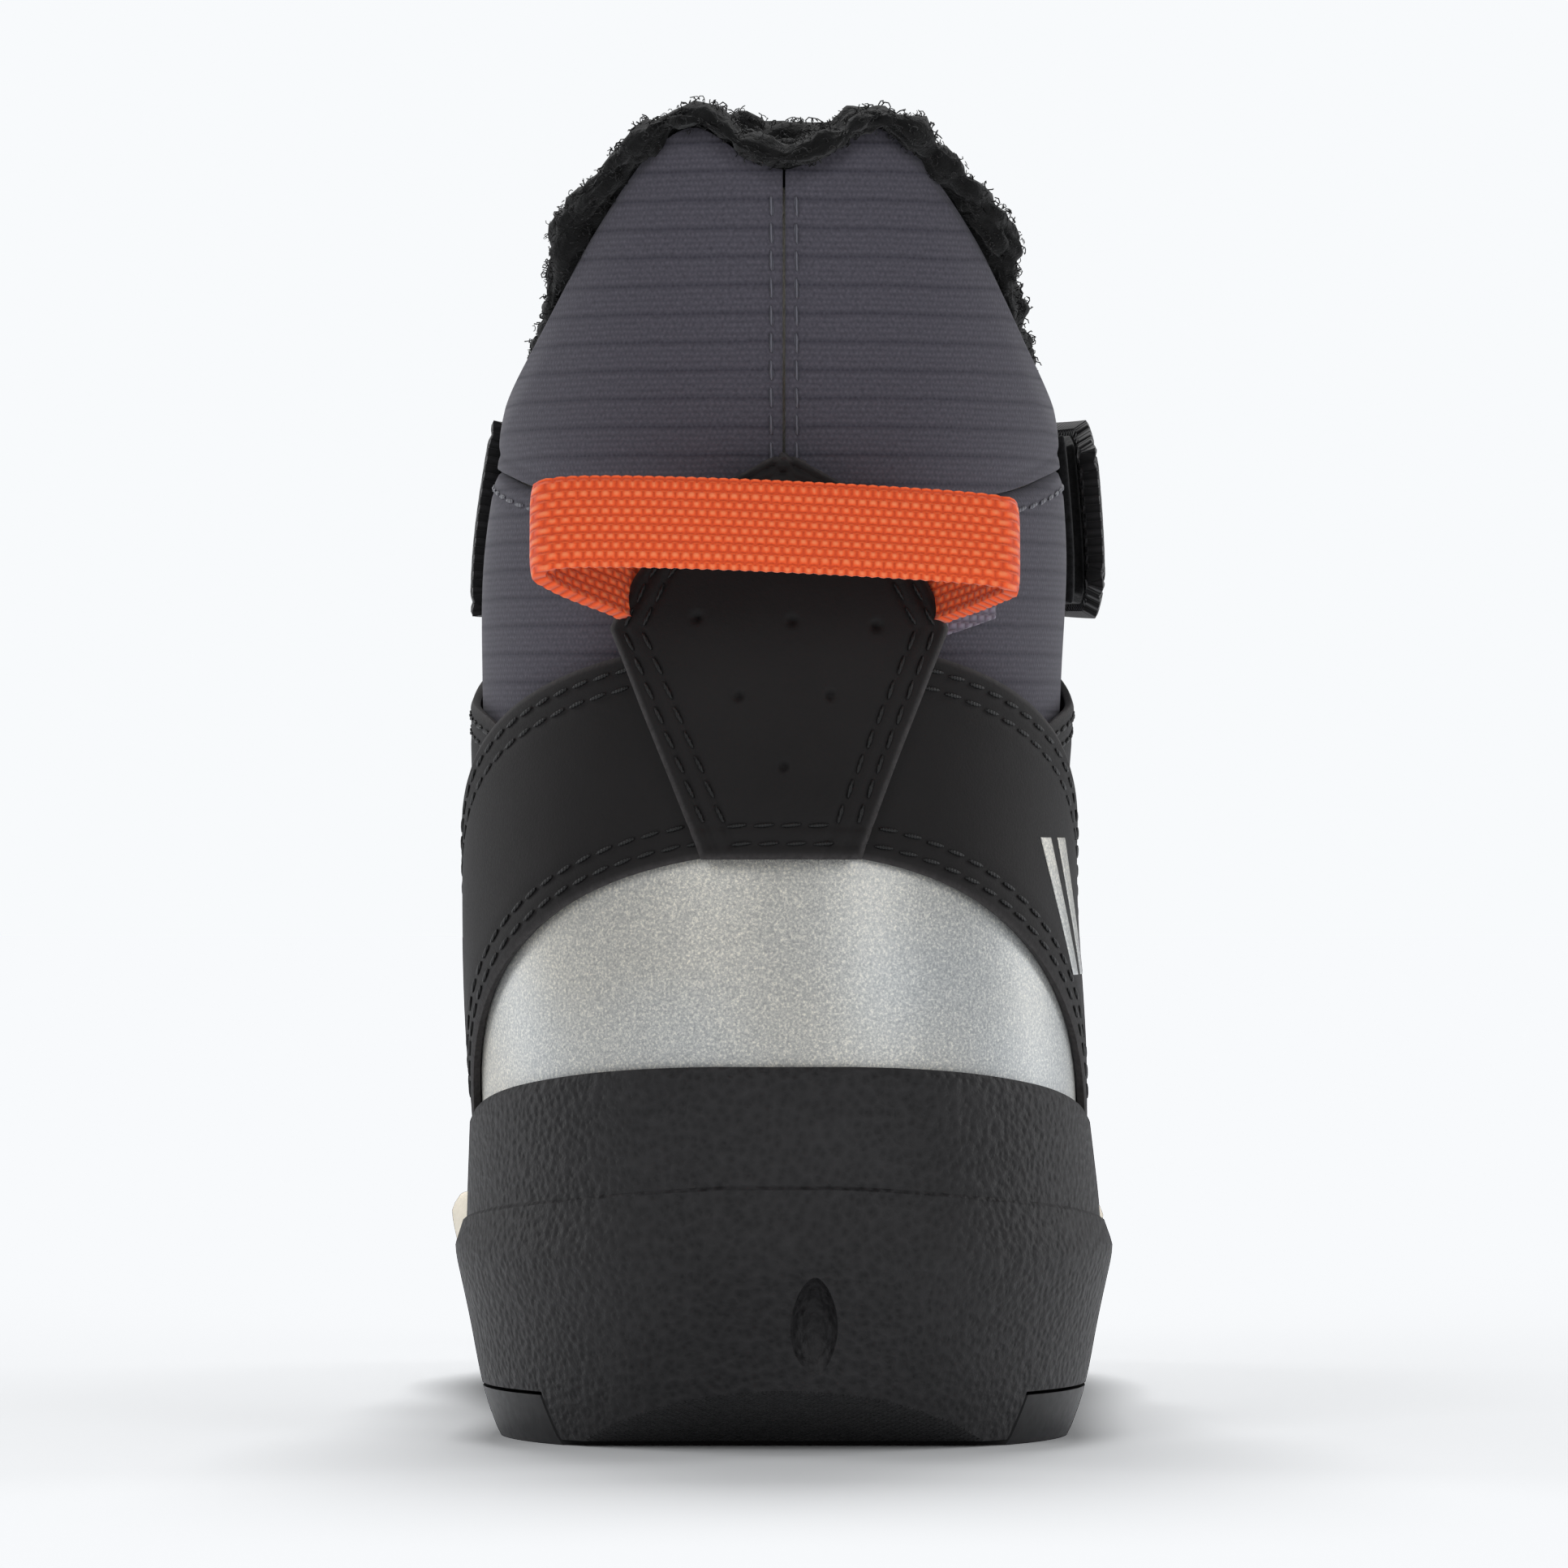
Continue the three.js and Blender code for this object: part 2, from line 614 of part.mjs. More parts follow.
for (const [side, name] of [[-1, "medial"], [1, "lateral"]]) {
  const across = (u) => (side > 0 ? u : 1 - u);
  piece(
    "quarter_" + name,
    sheet({
      columns: 26, rows: 14, inner: quarterIn, outer: quarterOut,
      at: (u, v) => {
        const top = quarterTop(mix(26, 95, across(u)));
        const z = mix(upperFoot, top, v);
        const overVamp = 5 * THREE.MathUtils.smoothstep(throatFoot - z, 0, 8);
        const rear = archGirth(middleArch, z) + 0.3 + 0.5 * seamGap;
        return [side * mix(Math.max(rear, 26), Math.min(frontEdge(z) + overVamp, throatEdge(z)), across(u)), z];
      },
    }),
    blackSynthetic,
  );
}
piece(
  "heel_reflector",
  sheet({
    columns: 24, rows: 3, inner: quarterIn, outer: quarterOut,
    at: (u, v) => {
      const [girth, top] = archPoint(middleArch, mix(-Math.PI / 2, Math.PI / 2, u));
      return [girth, mix(upperFoot, top - 0.5, v)];
    },
  }),
  silverReflector,
);
piece(
  "heel_band",
  sheet({
    columns: 26, rows: 3, inner: bandIn, outer: bandOut,
    at: (u, v) => {
      // Both legs end just above the sole's edge.
      const turn = mix(-1, 1, u) * 1.48;
      const [innerGirth, innerZ] = archPoint(innerArch, turn);
      const [outerGirth, outerZ] = archPoint(outerArch, turn);
      const girth = mix(innerGirth, outerGirth, v);
      const above = soleTop(shellPoint(girth, 34).y) + 2.6 * gap;
      return [girth, Math.max(mix(innerZ, outerZ, v), above)];
    },
  }),
  blackSynthetic,
);
// Heel patch: a low roof on top, shoulders at the pull loop and a narrower foot.
const patchFoot = 64.3;
const patchApex = 108.8;
const patchShoulder = { z: 89.8, half: 16.2 };
const patchOutline = [[patchFoot, 7.8], [patchShoulder.z, patchShoulder.half], [95.6, 13.8], [104.5, 8], [patchApex, 1]];
function patchHalf(z) {
  const i = Math.max(patchOutline.findIndex((corner) => corner[0] >= z), 1);
  const [low, high] = [patchOutline[i - 1], patchOutline[i]];
  return mix(low[1], high[1], (z - low[0]) / (high[0] - low[0]));
}
const patchRows = [0, 0.2, 0.4, 0.573, 0.703, 0.81, 0.903, 1];
piece(
  "heel_patch",
  sheet({
    columns: 6, rows: patchRows.length - 1, inner: patchIn, outer: patchOut,
    at: (u, v) => {
      const z = mix(patchFoot, patchApex, patchRows[Math.round(v * (patchRows.length - 1))]);
      return [girthAcross(mix(-1, 1, u) * patchHalf(z)), z];
    },
  }),
  blackSynthetic,
);
piece(
  "tongue",
  sheet({
    columns: 10, rows: 10, inner: paddingIn, outer: paddingOut,
    at: (u, v) => {
      const z = mix(throatFoot - 3, tongueTop, v);
      return [girthToFront(z) + mix(-1, 1, u) * mix(15, 22, v), z];
    },
  }),
  greyFabric,
);

// ---------- Upper strap ----------
const upperStrapMiddle = 103;
const upperRootBack = 62; // girth of the sewn end's rear edge, on the inner side
const upperFold = 79; // girth of the fold where the strap starts to peel
const upperTabEnd = 62; // girth of the free end, on the outer side
const foldGap = 0.5;
const strapBase = gap; // the strap's sewn end and its landing tape lie on the textile
const strapRest = strapBase + 2 * hookTape + 2 * gap; // the strap lies on both tapes
const tapeWidth = strapWidth - 3;
const upperBand = (girthFrom, girthTo, width) => (u, v) => [
  mix(girthFrom, girthTo, u),
  upperStrapMiddle + (v - 0.5) * (typeof width === "function" ? width(u) : width),
];
piece(
  "upper_strap_root",
  sheet({
    columns: 4, rows: 3, inner: strapBase, outer: strapBase + strapThickness,
    at: upperBand(-upperFold, -upperRootBack, strapWidth),
  }),
  blackStrap,
);
piece(
  "upper_strap_landing",
  sheet({
    columns: 8, rows: 2, inner: strapBase, outer: strapBase + hookTape,
    at: upperBand(upperTabEnd - 1, upperTabEnd + 35, tapeWidth),
  }),
  blackTape,
);
const upperStrapLength = 2 * girthToFront(upperStrapMiddle) - upperTabEnd - upperFold - foldGap;
const strapRise = (fromFold, low, high) => mix(low, high, THREE.MathUtils.smoothstep(fromFold, 0, 16));
const tabShape = (fromEnd) => (fromEnd < 5 ? mix(0.7, 1, fromEnd / 5) : 1);
piece(
  "upper_strap",
  sheet({
    columns: 26, rows: 3,
    inner: (u) => strapRise((1 - u) * upperStrapLength, strapBase, strapRest),
    outer: (u) => strapRise((1 - u) * upperStrapLength, strapBase, strapRest) + strapThickness,
    at: (u, v) => {
      const z = upperStrapMiddle + (v - 0.5) * strapWidth * tabShape(u * upperStrapLength);
      return [mix(upperTabEnd, 2 * girthToFront(z) - upperFold - foldGap, u), z];
    },
  }),
  blackStrap,
);
piece(
  "upper_strap_hook_tape",
  sheet({
    columns: 8, rows: 2, inner: strapRest - gap - hookTape, outer: strapRest - gap,
    at: upperBand(upperTabEnd + 3, upperTabEnd + 33, (u) => tapeWidth * tabShape(3 + u * 30)),
  }),
  blackTape,
);

// ---------- Lower strap ----------
// It crosses the instep. Its edges run level over the top, then slant back down the sides of the foot.
const lowerCrest = { front: 63.5, rear: 74 }; // heights of the strap's two edges on the instep's ridge
const lowerSide = { front: 37, rear: 43 }; // heights of the same edges at the free end
const lowerSlant = 0.78; // how far the strap comes back for each millimetre down
function lowerStrapAt(along, width) {
  // along runs from -1 at the outer end to 1 at the inner end, width from 0 at the front edge to 1 at the rear.
  const crest = mix(lowerCrest.front, lowerCrest.rear, width);
  const low = mix(lowerSide.front, lowerSide.rear, width);
  const z = crest - (crest - low) * Math.min(along * along, 1.3);
  const y = frontLine(crest) - lowerSlant * (crest - z);
  const girth = girthAt(y, z);
  return [along < 0 ? girth : 2 * girthToFront(z) - girth, z];
}
const lowerBand = (from, to, widthOf = () => 1) => (u, v) =>
  lowerStrapAt(mix(from, to, u), 0.5 + (v - 0.5) * widthOf(u));
const lowerBase = bandIn; // it lies on the quarters, which stand one layer above the shell
const lowerRest = lowerBase + 2 * hookTape + 2 * gap;
const lowerFold = 0.64; // where it starts to peel, and below, where its sewn and its free ends stop
const lowerRootEnd = 0.8;
const lowerTip = -0.66;
const lowerLength = 70;
piece(
  "lower_strap_root",
  sheet({
    columns: 3, rows: 3, inner: lowerBase, outer: lowerBase + strapThickness,
    at: lowerBand(lowerFold + 0.012, lowerRootEnd),
  }),
  blackStrap,
);
piece(
  "lower_strap_landing",
  sheet({
    columns: 5, rows: 2, inner: lowerBase, outer: lowerBase + hookTape,
    at: lowerBand(lowerTip - 0.02, lowerTip + 0.3, () => 0.84),
  }),
  blackTape,
);
piece(
  "lower_strap",
  sheet({
    columns: 20, rows: 3,
    inner: (u) => strapRise((1 - u) * lowerLength, lowerBase, lowerRest),
    outer: (u) => strapRise((1 - u) * lowerLength, lowerBase, lowerRest) + strapThickness,
    at: lowerBand(lowerTip, lowerFold, (u) => tabShape(u * lowerLength)),
  }),
  blackStrap,
);
piece(
  "lower_strap_hook_tape",
  sheet({
    columns: 4, rows: 2, inner: lowerRest - gap - hookTape, outer: lowerRest - gap,
    at: lowerBand(lowerTip + 0.03, lowerTip + 0.27, () => 0.8),
  }),
  blackTape,
);

// ---------- Pull loop ----------
const loopWidth = 9.3;
const loopAnchor = { z: 95, y: -27.6 }; // where the webbing leaves the patch
const loopRise = 0.4; // the loop climbs this much for each millimetre it stands back
const loopReach = 14;
const loopDrift = 1; // it hangs a little to the inner side
const stubEnd = 15.2; // girth at which the sewn ends stop
for (const [side, name] of [[-1, "medial"], [1, "lateral"]]) {
  const [from, to] = side > 0 ? [4, stubEnd] : [-stubEnd, -4];
  piece(
    "pull_loop_end_" + name,
    sheet({
      columns: 3, rows: 2, inner: quarterIn + 0.2, outer: quarterIn + 0.2 + webbing,
      at: (u, v) => [mix(from, to, u), loopAnchor.z + (v - 0.5) * loopWidth],
    }),
    orangeWebbing,
  );
}
// The loose part, as [x, distance back] along the middle of the webbing.
function pullLoop() {
  const half = [[17.6, 3.5], [20.7, 6.4], [23.3, 9.4], [24.3, 11], [23.7, 12.5], [20, 13.2], [11, loopReach - 0.3], [0, loopReach]];
  const path = [...half, ...half.slice(0, -1).reverse().map(([x, back]) => [-x, back])];
  const points = [];
  path.forEach(([x, back], i) => {
    const [before, after] = [path[Math.max(i - 1, 0)], path[Math.min(i + 1, path.length - 1)]];
    const run = new THREE.Vector2(after[0] - before[0], after[1] - before[1]).normalize();
    const square = new THREE.Vector2(-run.y, run.x).multiplyScalar(webbing / 2);
    for (const [face, edge] of [[-1, 1], [1, 1], [1, -1], [-1, -1]]) {
      const out = back + face * square.y;
      const up = loopAnchor.z + loopRise * out + (edge * loopWidth) / 2;
      points.push(new THREE.Vector3(x + face * square.x - loopDrift * THREE.MathUtils.smoothstep(out, 3, 10), loopAnchor.y - out + edge * 1.2, up));
    }
  });
  const triangles = [];
  const quad = (a, b, c, d) => triangles.push(a, b, c, a, c, d);
  for (let i = 0; i + 1 < path.length; i++) {
    for (let k = 0; k < 4; k++) {
      const [a, b] = [i * 4 + k, i * 4 + ((k + 1) % 4)];
      quad(a, b, b + 4, a + 4);
    }
  }
  quad(3, 2, 1, 0);
  const end = (path.length - 1) * 4;
  quad(end, end + 1, end + 2, end + 3);
  return geometryOf(points, triangles);
}
piece("pull_loop", pullLoop(), orangeWebbing);

export default boot;
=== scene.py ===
# %% [markdown]
# A child's winter boot for the right foot. The frame from the CAD gives every piece's place, and this
# lesson dresses it: moulded rubber, ribbed textile, coated synthetic, a silver reflector, woven webbing,
# curly fleece and some hundreds of stitches. Lengths below are millimetres, as a bootmaker would give them,
# and one factor turns them into Blender's metres where a mesh is made.

# %% Load the frame
import json
import math

import bmesh
import bpy
import numpy as np
from mathutils import Matrix, Vector, noise

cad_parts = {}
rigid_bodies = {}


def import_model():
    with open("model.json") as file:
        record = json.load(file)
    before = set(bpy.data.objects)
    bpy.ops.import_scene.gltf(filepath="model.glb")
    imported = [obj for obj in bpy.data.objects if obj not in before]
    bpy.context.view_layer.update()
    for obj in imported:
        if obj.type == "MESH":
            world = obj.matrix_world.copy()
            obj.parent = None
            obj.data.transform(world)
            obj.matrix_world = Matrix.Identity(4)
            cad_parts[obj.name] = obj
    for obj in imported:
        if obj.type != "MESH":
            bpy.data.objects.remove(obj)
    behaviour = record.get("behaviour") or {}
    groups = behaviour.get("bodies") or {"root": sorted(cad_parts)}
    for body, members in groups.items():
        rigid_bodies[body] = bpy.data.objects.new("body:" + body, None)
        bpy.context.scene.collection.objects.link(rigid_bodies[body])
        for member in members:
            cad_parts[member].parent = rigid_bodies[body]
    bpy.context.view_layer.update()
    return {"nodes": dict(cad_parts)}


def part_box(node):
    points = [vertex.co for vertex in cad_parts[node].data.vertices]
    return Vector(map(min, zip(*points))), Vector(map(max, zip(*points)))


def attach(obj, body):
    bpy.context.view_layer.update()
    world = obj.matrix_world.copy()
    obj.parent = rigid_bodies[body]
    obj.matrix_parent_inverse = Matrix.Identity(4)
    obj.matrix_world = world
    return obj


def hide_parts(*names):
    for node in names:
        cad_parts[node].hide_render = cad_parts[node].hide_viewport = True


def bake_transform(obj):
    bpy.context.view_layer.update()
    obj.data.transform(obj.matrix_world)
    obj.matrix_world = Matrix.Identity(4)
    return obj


for leftover in list(bpy.data.objects):
    bpy.data.objects.remove(leftover)
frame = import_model()
MM = 0.001
rng = np.random.default_rng(7)

# %% [markdown]
# Everything on the upper is sheet material pulled over a last. So the last comes first: a rounded heel,
# straight sides and a rounded front at each height. One pair of coordinates then places any panel, stitch
# or strap: the girth, measured round the boot from the back seam (+ on the outer side), and the height. The
# arithmetic works on whole arrays, because a panel has thousands of vertices.

# %% The shape of the last
HEEL_BACK, TOE_FRONT, SHAFT_BACK, SHAFT_FRONT = -34, 167, -29.2, 46
BODY_HALF_WIDTH, MEDIAL_FULLER, BALL_FULLER = 32, 1.6, 3.6
HEEL_ROUND, LONGEST_TOE_ROUND, TOE_BLUNTNESS = 35, 66, 0.82


def through(*knots):
    """A smooth function through (x, value) knots, level past both ends."""
    xs, vs = np.array(knots, float).T
    slopes = np.zeros(len(xs))
    slopes[1:-1] = (vs[2:] - vs[:-2]) / (xs[2:] - xs[:-2])

    def curve(x):
        x = np.clip(np.asarray(x, float), xs[0], xs[-1])
        i = np.clip(np.searchsorted(xs, x, side="right") - 1, 0, len(xs) - 2)
        width = xs[i + 1] - xs[i]
        t = (x - xs[i]) / width
        ease = t * t * (3 - 2 * t)
        lean = t * (1 - t) ** 2 * slopes[i] + t * t * (t - 1) * slopes[i + 1]
        return vs[i] + (vs[i + 1] - vs[i]) * ease + lean * width

    return curve


def mix(a, b, t):
    return a + (b - a) * t


def smoothstep(low, high, x):
    t = np.clip((x - low) / (high - low), 0, 1)
    return t * t * (3 - 2 * t)


back_line = through(
    (0, HEEL_BACK + 2), (20, HEEL_BACK + 0.8), (42, HEEL_BACK), (60, HEEL_BACK + 0.9),
    (80, mix(HEEL_BACK, SHAFT_BACK, 0.7)), (100, SHAFT_BACK), (122, SHAFT_BACK - 0.2), (150, SHAFT_BACK - 2.2),
)
front_share = through(
    (8, 0.985), (18, 1), (27, 0.985), (35, 0.93), (42, 0.815), (50, 0.64), (58, 0.475),
    (66, 0.34), (75, 0.225), (85, 0.135), (97, 0.06), (112, 0.015), (128, 0),
)
width_by_height = through(
    (15, BODY_HALF_WIDTH - 1), (30, BODY_HALF_WIDTH - 0.5), (45, BODY_HALF_WIDTH - 0.1),
    (65, BODY_HALF_WIDTH - 0.3), (85, BODY_HALF_WIDTH + 0.5), (100, BODY_HALF_WIDTH + 0.6),
    (122, BODY_HALF_WIDTH - 1.8), (150, BODY_HALF_WIDTH - 3),
)
lean_by_height = through(
    (20, 0), (36, 0.5), (62, MEDIAL_FULLER), (100, 0.6 * MEDIAL_FULLER), (125, 0.3))
medial_fullness = through((0, 0), (0.25, -0.5), (0.45, 0.4), (0.66, 1), (0.85, 0.3), (1, -0.6))
lateral_fullness = through((0, 0), (0.2, 0), (0.4, 0.2), (0.58, 0.45), (0.8, 0.2), (1, -0.9))
fullness_by_height = through((30, 1), (60, 0.8), (88, 0))


def front_line(z):
    return mix(SHAFT_FRONT, TOE_FRONT, front_share(z))


def half_width(y, z, side):
    along = np.clip(y / TOE_FRONT, 0, 1)
    fullness = np.where(side < 0, medial_fullness(along), lateral_fullness(along))
    return width_by_height(z) - side * lean_by_height(z) + fullness * BALL_FULLER * fullness_by_height(z)


def outline(z):
    back, front = back_line(z), front_line(z)
    toe_round = np.minimum(LONGEST_TOE_ROUND, front - back - HEEL_ROUND - 1)
    heel_arc = HEEL_ROUND * math.pi / 2
    straight = front - back - HEEL_ROUND - toe_round
    return back, front, toe_round, heel_arc, straight, heel_arc + straight + toe_round * math.pi / 2


def girth_to_front(z):
    return outline(np.asarray(z, float))[5]


def last_point(girth, z):
    """Points on the last, as an array of (x, y, z) rows."""
    girth, z = np.broadcast_arrays(np.asarray(girth, float), np.asarray(z, float))
    back, front, toe_round, heel_arc, straight, total = outline(z)
    s = np.where(girth > total, girth - 2 * total, girth)
    s = np.where(s < -total, s + 2 * total, s)
    side = np.where(s < 0, -1.0, 1.0)
    g = np.abs(s)
    heel_turn = g / HEEL_ROUND
    toe_turn = (g - heel_arc - straight) / toe_round
    y = back + HEEL_ROUND + g - heel_arc
    y = np.where(g < heel_arc, back + HEEL_ROUND * (1 - np.cos(heel_turn)), y)
    y = np.where(toe_turn > 0, front - toe_round * (1 - np.sin(toe_turn)), y)
    share = np.where(g < heel_arc, np.sin(heel_turn), 1.0)
    share = np.where(toe_turn > 0, np.maximum(np.cos(toe_turn), 0) ** TOE_BLUNTNESS, share)
    return np.stack([side * share * half_width(y, z, side), y, z], axis=-1)


def girth_at(y, z):
    back, front, toe_round, heel_arc, straight, total = outline(np.asarray(z, float))
    toe_start = front - toe_round
    heel = HEEL_ROUND * np.arccos(np.clip(1 - (y - back) / HEEL_ROUND, -1, 1))
    toe = heel_arc + straight + toe_round * np.arcsin(np.clip((y - toe_start) / toe_round, 0, 1))
    side = heel_arc + y - back - HEEL_ROUND
    return np.where(y <= back + HEEL_ROUND, heel, np.where(y <= toe_start, side, toe))


def girth_across(x):
    """The girth at a distance x across the back of the heel."""
    return HEEL_ROUND * np.arcsin(np.clip(x / BODY_HALF_WIDTH, -1, 1))


def outward(girth, z, level=False):
    step = 0.4
    along = last_point(girth + step, z) - last_point(girth - step, z)
    up = last_point(girth, z + step) - last_point(girth, z - step)
    normal = np.cross(along, up)
    near_front = np.abs(girth_to_front(z) - np.abs(girth)) < 2 * step
    normal[..., 0] = np.where(near_front, 0, normal[..., 0])
    if level:
        normal[..., 2] = 0
    return normal / np.linalg.norm(normal, axis=-1, keepdims=True)


def layer(girth, z, offset, level=False):
    """Points that lie an offset out from the last."""
    return last_point(girth, z) + outward(girth, z, level) * np.asarray(offset, float)[..., None]


print("girth at the strap:", round(float(girth_to_front(103)), 1), "mm from back seam to front")

# %% [markdown]
# Every finish is a small graph of shader nodes. Two helpers keep the graphs short: one turns a colour as
# painters write it (sRGB hex) into the linear numbers that Blender mixes, the other adds a node with its
# settings and links.

# %% Helpers for finishes
def colour(code):
    channels = [int(code[i : i + 2], 16) / 255 for i in (1, 3, 5)]
    return tuple(c / 12.92 if c <= 0.04045 else ((c + 0.055) / 1.055) ** 2.4 for c in channels) + (1.0,)


def add(material, kind, settings=None, inputs=None):
    """Adds one node. Settings are its properties. Inputs are values, or outputs of other nodes to link."""
    tree = material.node_tree
    node = tree.nodes.new("ShaderNode" + kind)
    for key, value in (settings or {}).items():
        setattr(node, key, value)
    for key, value in (inputs or {}).items():
        socket = node.inputs[key]
        if isinstance(value, bpy.types.NodeSocket):
            tree.links.new(value, socket)
        else:
            socket.default_value = value
    return node


def blank_finish(name, roughness, **sockets):
    """A new material with only its main shader, whose plain numbers are set on the shader itself."""
    material = bpy.data.materials.new(name)
    material.use_nodes = True
    shader = material.node_tree.nodes["Principled BSDF"]
    shader.inputs["Roughness"].default_value = roughness
    for key, value in sockets.items():
        shader.inputs[key.replace("_", " ")].default_value = value
    return material, shader


def link(material, output, socket):
    material.node_tree.links.new(output, socket)


def ramp(material, factor, *stops):
    """A colour ramp: stops are (position, hex colour)."""
    node = add(material, "ValToRGB", inputs={"Fac": factor})
    elements = node.color_ramp.elements
    while len(elements) < len(stops):
        elements.new(0.5)
    for element, (position, code) in zip(elements, stops):
        element.position = position
        element.color = colour(code)
    return node.outputs["Color"]


def tinted(material, base, tint):
    """One colour multiplied by another."""
    settings = {"data_type": "RGBA", "blend_type": "MULTIPLY"}
    return add(material, "Mix", settings, {"Factor": 1.0, 6: base, 7: tint}).outputs[2]


def math_node(material, operation, a, b=0.0, c=0.0):
    return add(material, "Math", {"operation": operation}, {0: a, 1: b, 2: c}).outputs[0]


def bump(material, shader, height, distance_mm, strength=1.0, under=None):
    inputs = {"Height": height, "Distance": distance_mm * MM, "Strength": strength}
    if under is not None:
        inputs["Normal"] = under
    node = add(material, "Bump", inputs=inputs)
    link(material, node.outputs["Normal"], shader.inputs["Normal"])
    return node.outputs["Normal"]


def grain(material, size_mm, detail=3.0, roughness=0.6, where=None):
    """Noise whose features are about this many millimetres across."""
    coords = where or add(material, "TexCoord").outputs["Object"]
    inputs = {"Vector": coords, "Scale": 1 / (size_mm * MM), "Detail": detail, "Roughness": roughness}
    return add(material, "TexNoise", inputs=inputs).outputs["Fac"]


# %% [markdown]
# The shaft is a polyester textile with a rib every 3 mm or so. On the real cloth a yarn is about 0.35 mm;
# it is drawn at 0.62 mm so that it shows. The pattern reads the panel's own UV map, which holds girth and
# height in metres, so the yarns follow the cloth round the boot. Warp and weft are two sine waves; the ribs
# are a third.

# %% Ribbed textile
YARN_MM, RIB_MM = 0.62, 3.1


def sine_rows(material, coordinate, period_mm, phase=0.0):
    """0 to 1 and back along a coordinate in metres, once each period."""
    turns = math_node(material, "MULTIPLY_ADD", coordinate, 2 * math.pi / (period_mm * MM), phase)
    return math_node(material, "MULTIPLY_ADD", math_node(material, "SINE", turns), 0.5, 0.5)


def ribbed_textile():
    # Woven polyester: matt, with a heathered blue-grey of lighter and darker yarns.
    material, shader = blank_finish(
        "woven_polyester_ribbed", 0.82, Sheen_Weight=0.1, Sheen_Roughness=0.5, Specular_IOR_Level=0.15)
    cloth = add(material, "UVMap", {"uv_map": "cloth"}).outputs["UV"]
    wander = grain(material, 9.0, 2.0, where=cloth)
    axes = add(material, "SeparateXYZ", inputs={"Vector": cloth})
    across, up = axes.outputs["X"], axes.outputs["Y"]
    up = math_node(material, "ADD", up, math_node(material, "MULTIPLY", wander, 0.3 * MM))
    warp = sine_rows(material, across, YARN_MM)
    warp_shifted = sine_rows(material, across, YARN_MM, math.pi)
    weft = sine_rows(material, up, YARN_MM * 2)
    weave = add(material, "Mix", inputs={"Factor": weft, 2: warp, 3: warp_shifted}).outputs[0]
    rows = sine_rows(material, up, YARN_MM)
    cross = math_node(material, "MULTIPLY", weave, rows)
    rib = math_node(material, "POWER", sine_rows(material, up, RIB_MM), 30.0)
    speckle = grain(material, 0.5, 2.0, where=cloth)
    shade = math_node(material, "MULTIPLY_ADD", cross, 0.24, 0.14)
    shade = math_node(material, "MULTIPLY_ADD", speckle, 0.66, shade)
    tint = ramp(material, shade, (0.18, "#37353C"), (0.5, "#4A4850"), (0.95, "#605D66"))
    # The rib lines are darkened in colour: painted shadow of the raised rib threads, over the bump's relief.
    dark = ramp(material, rib, (0.0, "#FFFFFF"), (1.0, "#D2D2D7"))
    link(material, tinted(material, tint, dark), shader.inputs["Base Color"])
    relief = math_node(material, "MULTIPLY_ADD", rib, 0.9, math_node(material, "MULTIPLY", cross, 0.5))
    bump(material, shader, relief, 0.1, 0.6)
    return material


TEXTILE = ribbed_textile()
print("finish:", TEXTILE.name)

# %% [markdown]
# The quarters, the heel band and the patch are a polyester cloth with a black polyurethane coat, brushed to
# look like nubuck. It is nearly matt, with a very fine grain and a faint sheen where it turns away. Its cut
# edges show a paler backing, so a wear mask from an attribute that each panel carries lightens the rim a
# little.

# %% Coated synthetic, strap facing and thread
def coated_synthetic():
    # Polyurethane on cloth: matt black, grain near 0.3 mm, slightly paler along cut edges.
    material, shader = blank_finish(
        "polyurethane_coated_cloth", 0.62, Sheen_Weight=0.03, Sheen_Roughness=0.4, Specular_IOR_Level=0.2)
    fine = grain(material, 0.32, 3.0)
    broad = grain(material, 14.0, 3.0)
    edge = add(material, "Attribute", {"attribute_name": "edge"}).outputs["Fac"]
    tone = math_node(material, "MULTIPLY_ADD", broad, 0.5, math_node(material, "MULTIPLY", fine, 0.5))
    base = ramp(material, tone, (0.3, "#121010"), (0.7, "#1C1A1A"))
    frayed = math_node(material, "MULTIPLY", edge, grain(material, 0.6, 2.0))
    worn = add(material, "Mix", {"data_type": "RGBA"}, {"Factor": frayed, 6: base, 7: colour("#4A4747")})
    link(material, worn.outputs[2], shader.inputs["Base Color"])
    rough = math_node(material, "MULTIPLY_ADD", fine, 0.25, 0.5)
    link(material, rough, shader.inputs["Roughness"])
    creases = bump(material, shader, broad, 0.5, 0.25)
    bump(material, shader, fine, 0.07, 0.55, under=creases)
    return material


def sewing_thread(name, dark, pale, sheen=0.2):
    # Bonded polyester thread: twisted, so it catches light in tiny slanted bands; the bands are painted
    # highlight and shade in its colour, and bumped too.
    material, shader = blank_finish(name, 0.5, Sheen_Weight=sheen, Specular_IOR_Level=0.35)
    twist = add(material, "TexWave", inputs={
        "Vector": add(material, "TexCoord").outputs["Object"], "Scale": 1 / (2 * 0.5 * MM), "Distortion": 1.5})
    link(material, ramp(material, twist.outputs["Fac"], (0.1, dark), (0.9, pale)), shader.inputs["Base Color"])
    bump(material, shader, twist.outputs["Fac"], 0.08, 0.6)
    return material


COATED = coated_synthetic()
BLACK_THREAD = sewing_thread("bonded_polyester_thread_black", "#050505", "#161616", 0.02)
GREY_THREAD = sewing_thread("bonded_polyester_thread_grey", "#3B3B43", "#66666F")
